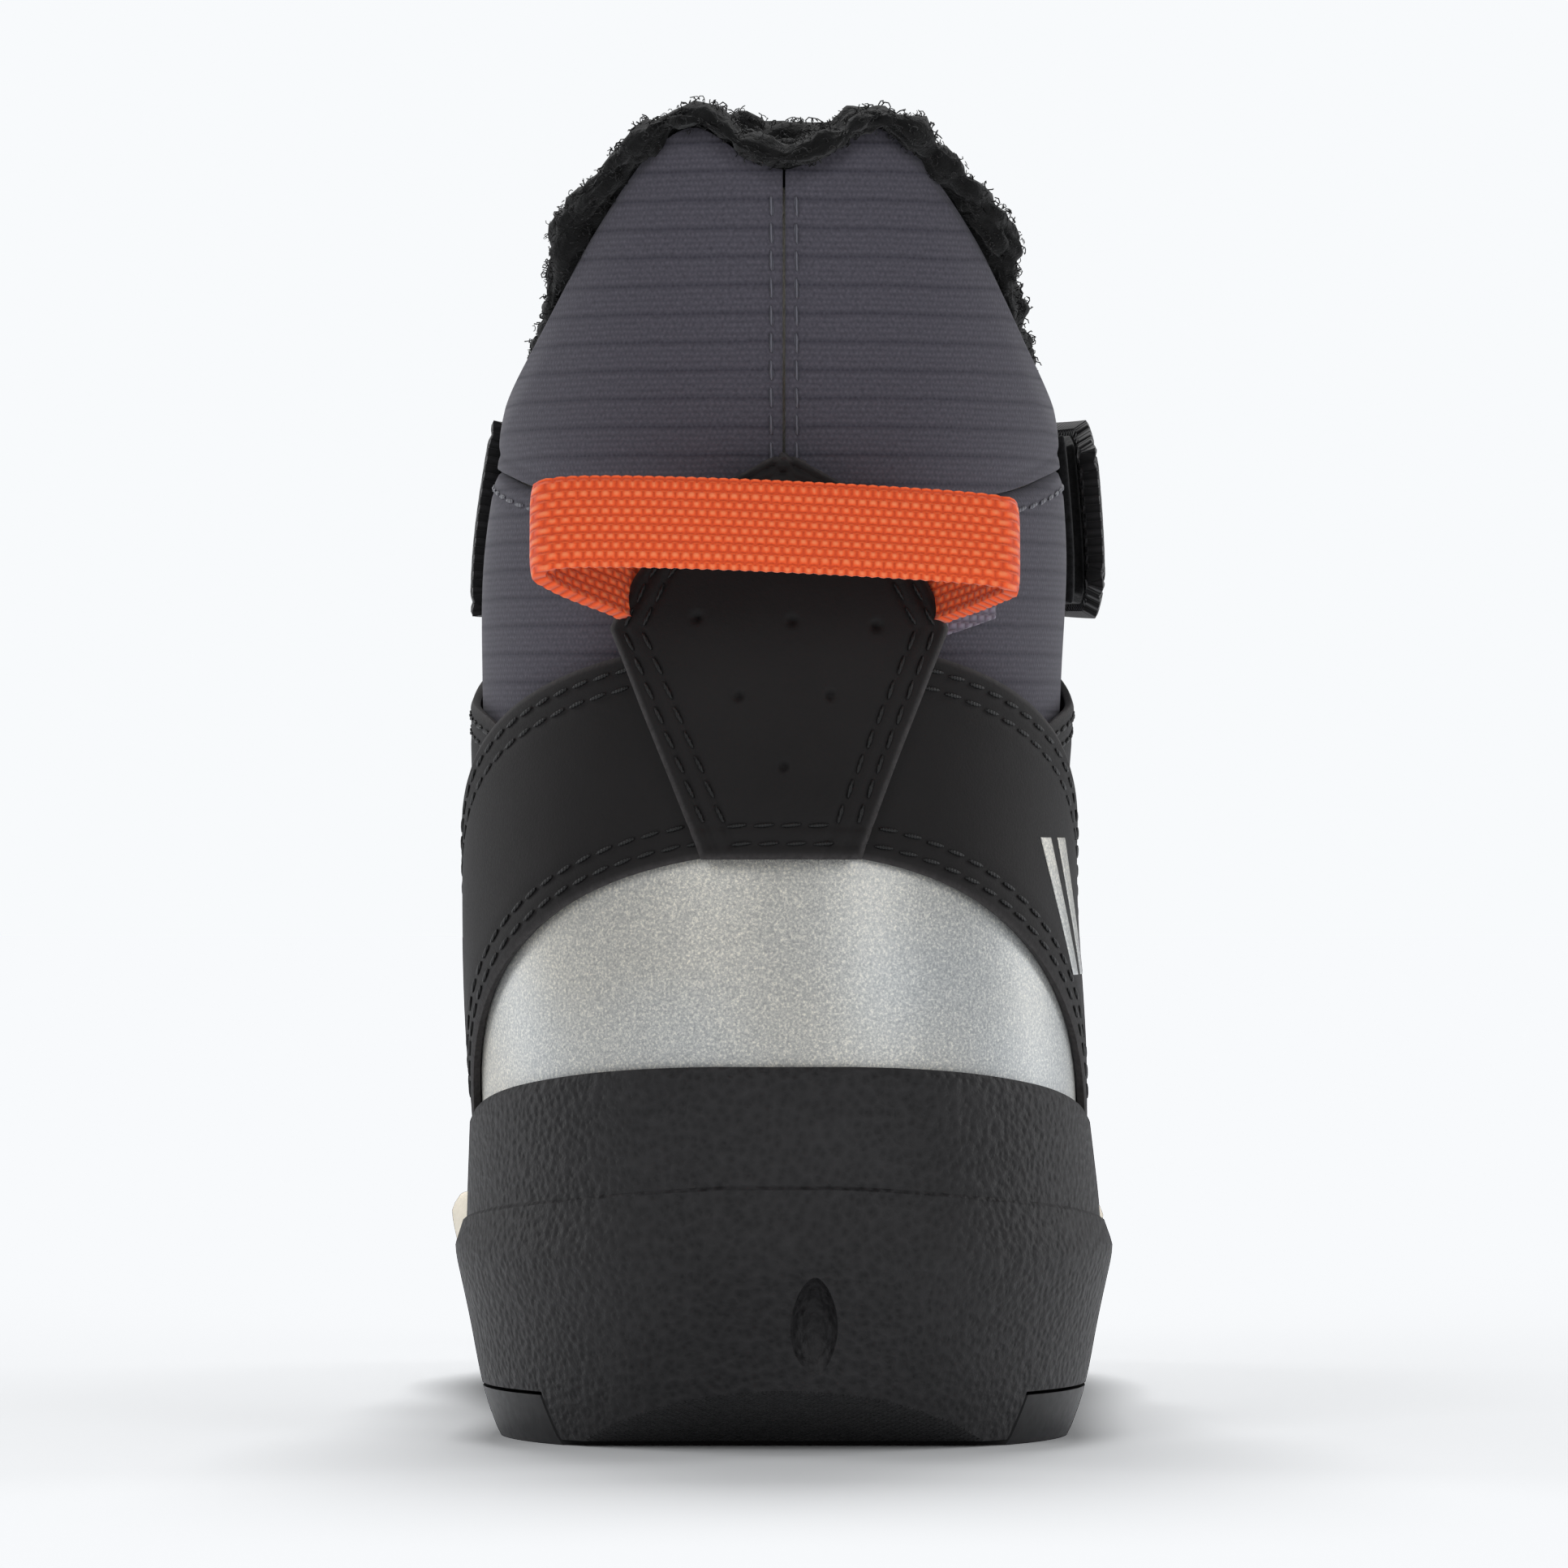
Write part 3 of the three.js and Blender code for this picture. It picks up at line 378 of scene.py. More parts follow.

# %% [markdown]
# The reflector is a cloth-backed film of tiny glass beads. Each bead throws light back, so it sparkles in
# grains of a quarter of a millimetre and looks like dull silver in plain light. A half-metallic coat with
# noisy roughness and a faint warm and cool drift gives that, and the sparkle is also painted into the
# colour: pale warm grains over the beads' own grey tone, as painted glints.

# %% Silver reflector
def reflective_film():
    # Retroreflective film: grey beads in clear resin, grain drawn at 0.3 mm so that it shows; its palest
    # grains are painted glints.
    material, shader = blank_finish("retroreflective_bead_film", 0.42, Metallic=0.55)
    bead = grain(material, 0.3, 2.0, 0.8)
    drift = grain(material, 30.0, 1.0)
    silver = ramp(material, bead, (0.3, "#A2A4A6"), (0.5, "#BFC1C1"), (0.72, "#F0EEE6"))
    warm = ramp(material, drift, (0.35, "#F6F8F9"), (0.65, "#FDF9F1"))
    link(material, tinted(material, silver, warm), shader.inputs["Base Color"])
    link(material, math_node(material, "MULTIPLY_ADD", bead, 0.3, 0.26), shader.inputs["Roughness"])
    bump(material, shader, bead, 0.05, 0.5)
    return material


REFLECTOR = reflective_film()
print("finish:", REFLECTOR.name)

# %% [markdown]
# The sole is moulded thermoplastic rubber. The mould is spark-eroded, which leaves a leathery stipple of
# about a millimetre on the side walls, while the tread is left smooth. The rear bevel carries a small
# diamond knurl. It is added later as crossed ridges, when the bevel's plane is known.

# %% Moulded rubber
def moulded_rubber(name, dark, pale, stipple_mm, depth_mm, low, high):
    # Thermoplastic rubber: roughness between low and high, stipple from the mould's spark erosion.
    material, shader = blank_finish(name, low, Specular_IOR_Level=0.3)
    place = add(material, "TexCoord").outputs["Object"]
    stipple = add(material, "TexVoronoi", {"feature": "SMOOTH_F1"}, {
        "Vector": place, "Scale": 1 / (stipple_mm * MM), "Smoothness": 0.6})
    dust = grain(material, 20.0, 4.0)
    fine = grain(material, stipple_mm * 0.7, 2.0)
    height = math_node(material, "MULTIPLY_ADD", fine, 0.6, stipple.outputs["Distance"])
    tone = math_node(material, "MULTIPLY_ADD", dust, 0.4, math_node(material, "MULTIPLY", height, 0.4))
    link(material, ramp(material, tone, (0.3, dark), (0.7, pale)), shader.inputs["Base Color"])
    link(material, math_node(material, "MULTIPLY_ADD", fine, high - low, low), shader.inputs["Roughness"])
    bump(material, shader, height, depth_mm, 0.9)
    return material


SOLE_RUBBER = moulded_rubber("thermoplastic_rubber_heel", "#121112", "#2A292A", 0.95, 0.3, 0.42, 0.75)
TREAD_RUBBER = moulded_rubber("thermoplastic_rubber_smooth", "#0F0F10", "#1A191A", 1.6, 0.03, 0.38, 0.55)
TOE_RUBBER = moulded_rubber("rubber_toe_foil", "#181718", "#232223", 0.6, 0.1, 0.45, 0.7)
FOAM_RUBBER = moulded_rubber("moulded_eva_foam_cream", "#D6CDBA", "#EAE2D2", 0.5, 0.06, 0.6, 0.8)
print("rubbers:", [m.name for m in (SOLE_RUBBER, TREAD_RUBBER, TOE_RUBBER, FOAM_RUBBER)])

# %% [markdown]
# The pull loop is polyester webbing about a centimetre wide. Its face is a plain weave of thick weft bumps
# set like bricks, 1.15 mm along and 0.92 mm across, with an edge that rolls round. The map on the band
# holds metres along and across it, so one pair of sine waves, shifted by half a turn in every second row,
# draws the bumps.

# %% Woven webbing
PICK_MM, END_MM = 1.15, 0.92


def woven_webbing(name, dark, mid, pale):
    # Woven polyester tape: matt, bumps of yarn set like bricks, painted lighter on the bumps and darker
    # between them, as painted highlight and shade.
    material, shader = blank_finish(name, 0.68, Sheen_Weight=0.25, Sheen_Roughness=0.4, Specular_IOR_Level=0.3)
    cloth = add(material, "UVMap", {"uv_map": "cloth"}).outputs["UV"]
    axes = add(material, "SeparateXYZ", inputs={"Vector": cloth})
    along, across = axes.outputs["X"], axes.outputs["Y"]
    rows = sine_rows(material, across, END_MM)
    choose = sine_rows(material, across, END_MM * 2, math.pi / 2)
    choose = math_node(material, "GREATER_THAN", choose, 0.5)
    plain = sine_rows(material, along, PICK_MM)
    shifted = sine_rows(material, along, PICK_MM, math.pi)
    picks = add(material, "Mix", inputs={"Factor": choose, 2: plain, 3: shifted}).outputs[0]
    humps = math_node(material, "POWER", picks, 0.6)
    height = math_node(material, "MULTIPLY", humps, math_node(material, "POWER", rows, 0.5))
    speckle = grain(material, 0.35, 2.0)
    shade = math_node(material, "MULTIPLY_ADD", speckle, 0.35, math_node(material, "MULTIPLY", height, 0.75))
    link(material, ramp(material, shade, (0.12, dark), (0.5, mid), (0.95, pale)), shader.inputs["Base Color"])
    bump(material, shader, height, 0.28, 0.9)
    return material


ORANGE_WEBBING = woven_webbing("woven_polyester_webbing_orange", "#D2431A", "#FF6028", "#FF8A58")
BLACK_FACING = woven_webbing("woven_polyester_facing_black", "#070707", "#171617", "#262526")
print("webbings:", ORANGE_WEBBING.name, BLACK_FACING.name)

# %% [markdown]
# The lining is sherpa: a knitted pile whose fibres curl into small clumps. Under the clumps it is a dense
# black ground that light hardly leaves. The curls themselves are made later as meshes, so this finish only
# has to be rough, almost without shine, with a soft sheen and a little variation from clump to clump.

# %% Fleece, felt, foam, tape and the hidden pieces
def pile_cloth(name, dark, pale, clump_mm, sheen=0.3):
    # Knitted pile: very rough, soft sheen, darker between the clumps.
    material, shader = blank_finish(
        name, 0.95, Sheen_Weight=sheen, Sheen_Roughness=0.6, Specular_IOR_Level=0.12)
    clump = grain(material, clump_mm, 4.0, 0.7)
    link(material, ramp(material, clump, (0.35, dark), (0.7, pale)), shader.inputs["Base Color"])
    bump(material, shader, clump, clump_mm * 0.35, 0.8)
    return material


FLEECE = pile_cloth("sherpa_pile_black", "#050505", "#121212", 1.4, 0.12)
FELT = pile_cloth("needle_felt_grey", "#3C3D40", "#5C5D61", 0.8, 0.15)
LOOP_PILE = pile_cloth("loop_tape_black", "#060606", "#1D1D1E", 0.5, 0.25)
HOOK_TAPE = pile_cloth("hook_tape_black", "#0A0A0A", "#202022", 0.9, 0.1)
CUSHION_FOAM = pile_cloth("open_cell_foam", "#D8D2C0", "#EEE9DC", 0.7, 0.1)
FIBRE_BOARD = pile_cloth("cellulose_fibre_board", "#857D70", "#A39C8E", 0.9, 0.0)
STIFFENER = pile_cloth("thermoplastic_stiffener", "#BDB49E", "#D0C8B4", 1.2, 0.0)


def spring_steel():
    # Cold-rolled strip: metal with fine rolling lines along its length.
    material, shader = blank_finish("cold_rolled_spring_steel", 0.35, Metallic=1.0)
    stretched = add(material, "Mapping", inputs={
        "Vector": add(material, "TexCoord").outputs["Object"], "Scale": (1, 0.04, 1)}).outputs["Vector"]
    lines = grain(material, 0.4, 2.0, where=stretched)
    link(material, ramp(material, lines, (0.3, "#8C9094"), (0.7, "#B9BDC1")), shader.inputs["Base Color"])
    link(material, math_node(material, "MULTIPLY_ADD", lines, 0.2, 0.25), shader.inputs["Roughness"])
    return material


STEEL = spring_steel()
print("finishes:", len(bpy.data.materials))

# %% [markdown]
# A panel of the upper is cut flat and pulled over the last. In Blender it starts as a flat grid, and each
# vertex is then moved to its girth and height on the last. The grid also knows how far each vertex is from
# the panel's four edges, so that a rim can roll under, a row of stitches can press a channel, and a finish
# can wear along the edge. Solidify gives the thickness and a small bevel rounds the cut.

# %% Helper for grids and pieces
def flat_grid(columns, rows):
    bm = bmesh.new()
    bmesh.ops.create_grid(bm, x_segments=columns, y_segments=rows, size=0.5)
    return bm


def grid_spots(bm, columns, rows):
    """Each vertex of a flat grid with its column and row."""
    for vertex in bm.verts:
        yield vertex, round((vertex.co.x + 0.5) * columns), round((vertex.co.y + 0.5) * rows)


def thicken(piece, thickness, rounding, segments, even=True):
    """A cloth's thickness inwards from its face, and its cut edge rounded a little."""
    wall = piece.modifiers.new("thickness", "SOLIDIFY")
    wall.thickness = thickness * MM
    wall.offset = -1
    wall.use_even_offset = even
    cut = piece.modifiers.new("cut edge", "BEVEL")
    cut.width = rounding * MM
    cut.segments = segments
    cut.limit_method = "ANGLE"
    cut.angle_limit = math.radians(50)


def link_piece(name, bm, material, body, stands_for=(), slot_name=None, sharp=None):
    data = bpy.data.meshes.new(name)
    bm.to_mesh(data)
    bm.free()
    data.materials.append(material)
    data.polygons.foreach_set("use_smooth", [True] * len(data.polygons))
    if sharp:
        data.set_sharp_from_angle(angle=math.radians(sharp))
    piece = bpy.data.objects.new(name, data)
    bpy.context.scene.collection.objects.link(piece)
    if body:
        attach(piece, body)
    if stands_for:
        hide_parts(*stands_for)
    return piece


# %% Helper for panels
def edge_lengths(grid, axis):
    """Distance along the grid from its start, in millimetres, on every row or column."""
    steps = np.linalg.norm(np.diff(grid, axis=axis), axis=-1)
    start = np.zeros_like(np.take(steps, [0], axis=axis))
    return np.concatenate([start, np.cumsum(steps, axis=axis)], axis=axis)


def lay_out(columns, rows, at):
    """Girths, heights and distances from a panel's four edges, each as a (rows + 1, columns + 1) array."""
    u, v = np.meshgrid(np.linspace(0, 1, columns + 1), np.linspace(0, 1, rows + 1))
    girth, z = at(u, v)
    flat = last_point(girth, z)
    along, up = edge_lengths(flat, 1), edge_lengths(flat, 0)
    from_right, from_high = along[:, -1:] - along, up[-1:] - up
    return {"girth": girth, "z": z, "left": along, "right": from_right, "low": up, "high": from_high}


def channel(distance, middle, depth=0.28, width=0.55):
    return -depth * np.exp(-(((distance - middle) / width) ** 2))


def pressed(plan, edges, insets, depth=0.28, width=0.55):
    """The channels that rows of stitches press along some edges of a panel."""
    return sum(channel(plan[edge], inset, depth, width) for edge in edges for inset in insets)


def drape(girth, z, depth, period):
    """Slow hollows and swells, as in cloth that isn't stretched hard."""
    a = np.sin(girth / period * 2.1 + z / period * 1.3 + 0.7)
    b = np.sin(z / period * 2.9 - girth / period * 1.1 + 2.0)
    return depth * a * b


def panel(name, columns, rows, at, out, thickness, material, body="boot", stands_for=(), slot_name=None,
          rim=0.3, rim_width=0.8, rims=("left", "right", "low", "high"), wear=0.9):
    plan = lay_out(columns, rows, at)
    distance = np.min([plan[edge] for edge in rims], axis=0) if rims else np.full(plan["z"].shape, 99.0)
    offset = out(plan) if callable(out) else np.full(plan["z"].shape, float(out))
    offset = offset - rim * (1 - smoothstep(0, rim_width, distance))
    plan["offset"] = offset
    points = layer(plan["girth"], plan["z"], offset) * MM
    bm = flat_grid(columns, rows)
    edge = bm.verts.layers.float.new("edge")
    uv = bm.loops.layers.uv.new("cloth")
    for vertex, i, j in grid_spots(bm, columns, rows):
        vertex[edge] = float(1 - smoothstep(0, wear, distance[j, i]))
        for loop in vertex.link_loops:
            loop[uv].uv = (plan["girth"][j, i] * MM, plan["z"][j, i] * MM)
        vertex.co = points[j, i]
    piece = link_piece(name, bm, material, body, stands_for, slot_name)
    thicken(piece, thickness, 0.22, 2)
    return piece, plan


# %% [markdown]
# Stitches are what make sewn work look sewn. Each one is a short bead of thread that dips into the cloth at
# both ends. One bead is modelled and then copied along the rows, because a curve with an array would not
# follow the panel's face. The same copying serves later for the curls of the fleece.

# %% Helper for copies
def strew(name, template, places, turns, material, body, **more):
    """Copies of a small bmesh: places are (n, 3) in mm, turns are (n, 3, 3) with any scale in them."""
    template.verts.ensure_lookup_table()
    points = np.array([v.co[:] for v in template.verts])
    faces = [[v.index for v in f.verts] for f in template.faces]
    template.free()
    moved = (np.einsum("nij,kj->nki", turns, points) + places[:, None, :]) * MM
    count = len(points)
    corners = [[n * count + k for k in face] for n in range(len(places)) for face in faces]
    data = bpy.data.meshes.new(name + "_mesh")
    data.from_pydata(moved.reshape(-1, 3), [], corners)
    bm = bmesh.new()
    bm.from_mesh(data)
    bpy.data.meshes.remove(data)
    return link_piece(name, bm, material, body, **more)


def bead(length=2.35, width=0.5, height=0.42):
    bm = bmesh.new()
    lying = Matrix.Rotation(math.pi / 2, 4, "Y")
    bmesh.ops.create_uvsphere(bm, u_segments=6, v_segments=5, radius=0.5, matrix=lying)
    bmesh.ops.scale(bm, vec=(length, width, height), verts=bm.verts)
    return bm


def seam_line(plan, edge, inset, start=0.0, stop=1.0, count=160):
    """Girths, heights and offsets along one edge of a panel, a distance in from it."""
    across = {"left": 1, "right": 1, "low": 0, "high": 0}[edge]
    lines = plan[edge].shape[1 - across]
    picks = np.linspace(start, stop, count) * (lines - 1)
    result = []
    for pick in picks:
        k = min(int(pick), lines - 2)
        t = pick - k
        row = {key: (mix(value[k], value[k + 1], t) if across else mix(value[:, k], value[:, k + 1], t))
               for key, value in plan.items()}
        order = np.argsort(row[edge])
        result.append([np.interp(inset, row[edge][order], row[key][order])
                       for key in ("girth", "z", "offset")])
    return np.array(result)


def stitch_frames(line, pitch=3.0, lift=0.12, margin=1.0):
    """Places and turns of the stitches on a line of (girth, z, offset) rows."""
    path = layer(line[:, 0], line[:, 1], line[:, 2] + lift)
    lengths = np.concatenate([[0], np.cumsum(np.linalg.norm(np.diff(path, axis=0), axis=1))])
    spots = np.arange(margin + pitch / 2, lengths[-1] - margin, pitch)
    at = np.stack([np.interp(spots, lengths, line[:, k]) for k in range(3)], axis=1)
    ahead = np.stack([np.interp(spots + 0.3, lengths, line[:, k]) for k in range(3)], axis=1)
    places = layer(at[:, 0], at[:, 1], at[:, 2] + lift)
    normals = outward(at[:, 0], at[:, 1])
    run = layer(ahead[:, 0], ahead[:, 1], ahead[:, 2] + lift) - places
    run -= normals * np.sum(run * normals, axis=1, keepdims=True)
    run /= np.linalg.norm(run, axis=1, keepdims=True)
    # A lockstitch never lies quite straight: each bead is turned a few degrees, always the same way.
    side = np.cross(normals, run)
    run = run * math.cos(0.09) + side * math.sin(0.09)
    side = np.cross(normals, run)
    return places, np.stack([run, side, normals], axis=2)


black_rows, grey_rows = [], []


def sew(rows, plan, edge, insets, start=0.0, stop=1.0, **kind):
    for inset in insets:
        rows.append(stitch_frames(seam_line(plan, edge, inset, start, stop), **kind))


# %% [markdown]
# The shell's textile is four panels: two below the collar seam and two above it, each pair meeting at the
# back. The collar panels swell a little over their foam, and each side turns under at the back seam, where
# two rows of grey stitches hold it down. The lines between the pieces come from the pattern: where the
# collar dips behind the heel tendon, where it falls to the ankle, and where the seam runs round.

# %% Textile shell
FLOOR_HEIGHT, BOARD, GAP, SOFT_GAP = 15.7, 1.6, 0.4, 0.7
FABRIC, OVERLAY, PADDING, FLEECE_THICK, STRAP_THICK, TAPE_THICK = 1.0, 0.9, 2.3, 3.2, 1.7, 1.1
QUARTER_IN = GAP + 0.3
QUARTER_OUT = QUARTER_IN + OVERLAY
BAND_IN = QUARTER_OUT + GAP
BAND_OUT = BAND_IN + OVERLAY
PATCH_IN = BAND_OUT + GAP
PATCH_OUT = PATCH_IN + OVERLAY
PADDING_OUT = -FABRIC - SOFT_GAP
PADDING_IN = PADDING_OUT - PADDING
FLEECE_OUT = PADDING_IN - SOFT_GAP
FLEECE_IN = FLEECE_OUT - FLEECE_THICK
UPPER_FOOT = FLOOR_HEIGHT + GAP + BOARD + GAP
THROAT_HALF, THROAT_FOOT, SEAM_GAP = 17, 62, 0.12
SIDES = ((-1, "medial"), (1, "lateral"))

collar_rim = through(
    (0, 140.3), (5, 141.8), (12, 145), (18, 143), (23, 139), (29, 133.5), (40, 123.5), (52, 117.5),
    (66, 115.5), (80, 116.5), (100, 120.5),
)
collar_seam = through((0, 103), (28, 104.8), (45, 107.6), (62, 109), (100, 110))
vamp_rear = through((17, 72), (40, 77), (54, 86), (THROAT_FOOT - 1, 92))


def throat_edge(z):
    return girth_to_front(z) - THROAT_HALF


def front_edge(z):
    low = np.minimum(girth_at(vamp_rear(z), z), throat_edge(z))
    return np.where(z < THROAT_FOOT, low, throat_edge(z))


def mirrored(side, shape):
    """Turns a pattern drawn from the back seam forward into one side's panel, with u growing with girth."""
    def at(u, v):
        girth, z = shape(u if side > 0 else 1 - u, v)
        return side * girth, z
    return at


def shaft_shape(u, v):
    z = mix(UPPER_FOOT, collar_seam(95 * u) + 0.6, v)
    return mix(SEAM_GAP, front_edge(z), u), z


def collar_shape(u, v):
    girth = mix(SEAM_GAP, throat_edge(115.0), u)
    return girth, mix(collar_seam(girth) + SEAM_GAP, collar_rim(girth), v)


for side, name in SIDES:
    back = "left" if side > 0 else "right"
    _, plan = panel(
        "shaft_textile_" + name, 130, 110, mirrored(side, shaft_shape),
        lambda p: 0.05 + drape(p["girth"], p["z"], 0.22, 26) + channel(p["high"], 2.3, 0.2),
        FABRIC, TEXTILE, stands_for=["shaft_fabric_" + name], slot_name="grey_textile",
        rim=1.1, rim_width=1.3, rims=("high",))
    sew(grey_rows, plan, "high", [2.3], 0.03, 0.97)
    _, plan = panel(
        "collar_textile_" + name, 120, 60, mirrored(side, collar_shape),
        lambda p: 0.1 + drape(p["girth"], p["z"], 0.25, 24)
        + 0.75 * smoothstep(0, 9, p["high"]) * smoothstep(0, 7, p["low"]) * smoothstep(0.6, 6, p[back])
        + channel(p[back], 1.25, 0.34, 0.5) + channel(p["low"], 1.6, 0.2)
        - 0.5 * (1 - smoothstep(0, 0.9, p[back])),
        FABRIC, TEXTILE, stands_for=["collar_fabric_" + name], slot_name="grey_textile",
        rim=0.9, rim_width=2.4, rims=("high",))
    sew(grey_rows, plan, back, [1.3], 0.02, 0.97)

# %% [markdown]
# Over the textile come the coated pieces, each one layer further out. The reflector lies round the heel
# with its top under the band; the band is an arch with a double row along both edges; the quarters run
# forward from it to the throat; the patch covers where everything meets. Each edge is pressed down a little
# by its stitches.

# %% Reflector, heel band, quarters and patch
INNER_ARCH, MIDDLE_ARCH, OUTER_ARCH = (54, 33, 32.2, 1.55), (64, 32, 45.6, 1.35), (74, 31, 57.8, 1.15)
# Stitch rows lie these distances in from a cut edge, and press the cloth this deep.
DOUBLE_ROW, TOP_ROWS, FRONT_ROWS = (1.7, 3.7), (1.6, 3.4), (1.8, 3.6)
QUARTER_PRESS, BAND_PRESS = 0.18, 0.22
QUARTER_TOP = through((28, 76), (37, 80.5), (50, 83.5), (70, 88), (95, 90))
SOLE_TOP = through(
    (HEEL_BACK - 4, 42.4), (-20, 40), (0, 35.5), (30, 28.5), (55, 25), (110, 24), (150, 26.5),
    (TOE_FRONT + 4, 31),
)


def arch_point(arch, turn):
    reach, foot, rise, power = arch
    return reach * np.sin(turn), foot + rise * np.maximum(np.cos(turn), 0) ** power


def arch_girth(arch, z):
    reach, foot, rise, power = arch
    share = np.clip((z - foot) / rise, 0, 1) ** (1 / power)
    return reach * np.sqrt(1 - share * share)


def reflector_shape(u, v):
    girth, top = arch_point(MIDDLE_ARCH, mix(-math.pi / 2, math.pi / 2, u))
    return girth, mix(UPPER_FOOT, top - 0.5, v)


def band_shape(u, v):
    turn = mix(-1, 1, u) * 1.48
    inner_girth, inner_z = arch_point(INNER_ARCH, turn)
    outer_girth, outer_z = arch_point(OUTER_ARCH, turn)
    girth = mix(inner_girth, outer_girth, v)
    above = SOLE_TOP(last_point(girth, 34)[..., 1]) - 1.5
    return girth, np.maximum(mix(inner_z, outer_z, v), above)


def quarter_shape(u, v):
    z = mix(UPPER_FOOT, QUARTER_TOP(mix(26, 95, u)), v)
    over_vamp = 5 * smoothstep(0, 8, THROAT_FOOT - z)
    rear = np.maximum(arch_girth(MIDDLE_ARCH, z) + 0.4, 26)
    return mix(rear, np.minimum(front_edge(z) + over_vamp, throat_edge(z)), u), z


panel("heel_reflective_film", 150, 70, reflector_shape,
      lambda p: QUARTER_OUT + drape(p["girth"], p["z"], 0.12, 40), OVERLAY, REFLECTOR,
      stands_for=["heel_reflector"], slot_name="silver_reflector", rims=())
for side, name in SIDES:
    front = "right" if side > 0 else "left"
    _, plan = panel(
        "quarter_panel_" + name, 120, 100, mirrored(side, quarter_shape),
        lambda p: QUARTER_OUT + drape(p["girth"], p["z"], 0.15, 34)
        + pressed(p, ["high"], TOP_ROWS, QUARTER_PRESS) + pressed(p, [front], FRONT_ROWS, QUARTER_PRESS),
        OVERLAY, COATED, stands_for=["quarter_" + name], slot_name="black_synthetic", rims=("high", front))
    sew(black_rows, plan, "high", TOP_ROWS, 0.03, 0.97)
    sew(black_rows, plan, front, FRONT_ROWS, 0.05, 0.98)
_, plan = panel(
    "heel_arch_band", 260, 34, band_shape,
    lambda p: BAND_OUT + pressed(p, ("low", "high"), DOUBLE_ROW, BAND_PRESS), OVERLAY, COATED,
    stands_for=["heel_band"], slot_name="black_synthetic", rims=("low", "high"))
for edge in ("low", "high"):
    sew(black_rows, plan, edge, DOUBLE_ROW, 0.05, 0.95)

PATCH_FOOT, PATCH_APEX, SHOULDER_Z, SHOULDER_HALF = 64.3, 108.8, 89.8, 16.2
PINHOLES = ((-8, 90.9), (0.8, 90.5), (9, 90), (-4.2, 82.2), (4.6, 82.3), (0, 74.4))


def patch_shape(u, v):
    z = mix(PATCH_FOOT, PATCH_APEX, v)
    corners = (PATCH_FOOT, SHOULDER_Z, 95.6, 104.5, PATCH_APEX)
    half = np.interp(z, corners, (7.8, SHOULDER_HALF, 13.8, 8, 1))
    return girth_across(mix(-1, 1, u) * half), z


def patch_face(p):
    face = PATCH_OUT + drape(p["girth"], p["z"], 0.1, 15)
    face = face + pressed(p, ("left", "right", "low", "high"), DOUBLE_ROW, BAND_PRESS, 0.4)
    for x, z in PINHOLES:
        reach = (p["girth"] - girth_across(x)) ** 2 + (p["z"] - z) ** 2
        face = face - 0.75 * np.exp(-(reach / 0.2))
    return face


_, patch_plan = panel("heel_patch_panel", 110, 130, patch_shape, patch_face, OVERLAY, COATED,
                      stands_for=["heel_patch"], slot_name="black_synthetic", rim_width=0.7)
for edge in ("left", "right"):
    sew(black_rows, patch_plan, edge, DOUBLE_ROW, 0.06, 0.9)
sew(black_rows, patch_plan, "low", DOUBLE_ROW, 0.14, 0.86)
print("stitch rows so far:", len(black_rows), "black,", len(grey_rows), "grey")

# A generic mark of two slanting silver stripes is printed on the outer side of the arch band.
STRIPE_WIDTH, STRIPE_LOW, STRIPE_HIGH, STRIPE_SLANT = 2.7, 51.5, 67, 0.6
for number, start in ((1, 36.0), (2, 40.6)):
    panel(f"side_stripe_{number}", 8, 40,
          lambda u, v: (start + STRIPE_WIDTH * u + STRIPE_SLANT * (STRIPE_HIGH - STRIPE_LOW) * (1 - v),
                        mix(STRIPE_LOW, STRIPE_HIGH, v)),
          BAND_OUT + 0.12, 0.1, REFLECTOR, rim=0.05, rim_width=0.2)

# %% [markdown]
# In front, the vamp covers the toes in one piece, with a rubber foil over the tip against scuffing. The
# tongue fills the throat. It is padded cloth, so it crowns between its edges. The shape is a grid like the
# others, and its face swells by the square root of the distance from the edge, as stuffed cloth does.

# %% Vamp, toe foil and tongue
def vamp_shape(u, v):
    z = mix(UPPER_FOOT, THROAT_FOOT, v)
    return girth_to_front(z) + mix(-1, 1, u) * (girth_to_front(z) - front_edge(z) - 0.8), z


def toe_foil_shape(u, v):
    low = 30.5
    reach = girth_to_front(low) - girth_at(118, low)
    across = mix(-1, 1, u)
    z = mix(low, low + 1 + 11.5 * (1 - across * across), v)
    return girth_to_front(z) + across * reach, z


def crown(from_one, from_other, reach, height):
    """Stuffed cloth's swell: the square root of the distance from the nearer of two edges."""
    return height * np.sqrt(np.clip(np.minimum(from_one, from_other) / reach, 0, 1))


def tongue_shape(u, v):
    z = mix(THROAT_FOOT - 3, 144, v)
    return girth_to_front(z) + mix(-1, 1, u) * mix(15, 22, v), z


panel("vamp_panel", 150, 90, vamp_shape,
      lambda p: 0.05 + drape(p["girth"], p["z"], 0.3, 30) - 0.35 * np.exp(-(((p["z"] - 52) / 1.6) ** 2)),
      FABRIC, COATED, stands_for=["vamp"], slot_name="black_synthetic", rims=("high",))
panel("toe_foil", 150, 30, toe_foil_shape, BAND_OUT, BAND_OUT - QUARTER_IN, TOE_RUBBER,
      stands_for=["toe_cap"], slot_name="black_rubber", rim=0.9, rim_width=2.2, rims=("high",))
tongue, plan = panel("tongue_pad", 70, 120, tongue_shape,
                     lambda p: PADDING_OUT + crown(p["left"], p["right"], 9, 0.55),
                     PADDING, TEXTILE, stands_for=["tongue"], slot_name="grey_textile", rim=0.8, rim_width=3)
for edge in ("left", "right"):
    sew(grey_rows, plan, edge, [3.0], 0.02, 0.98)
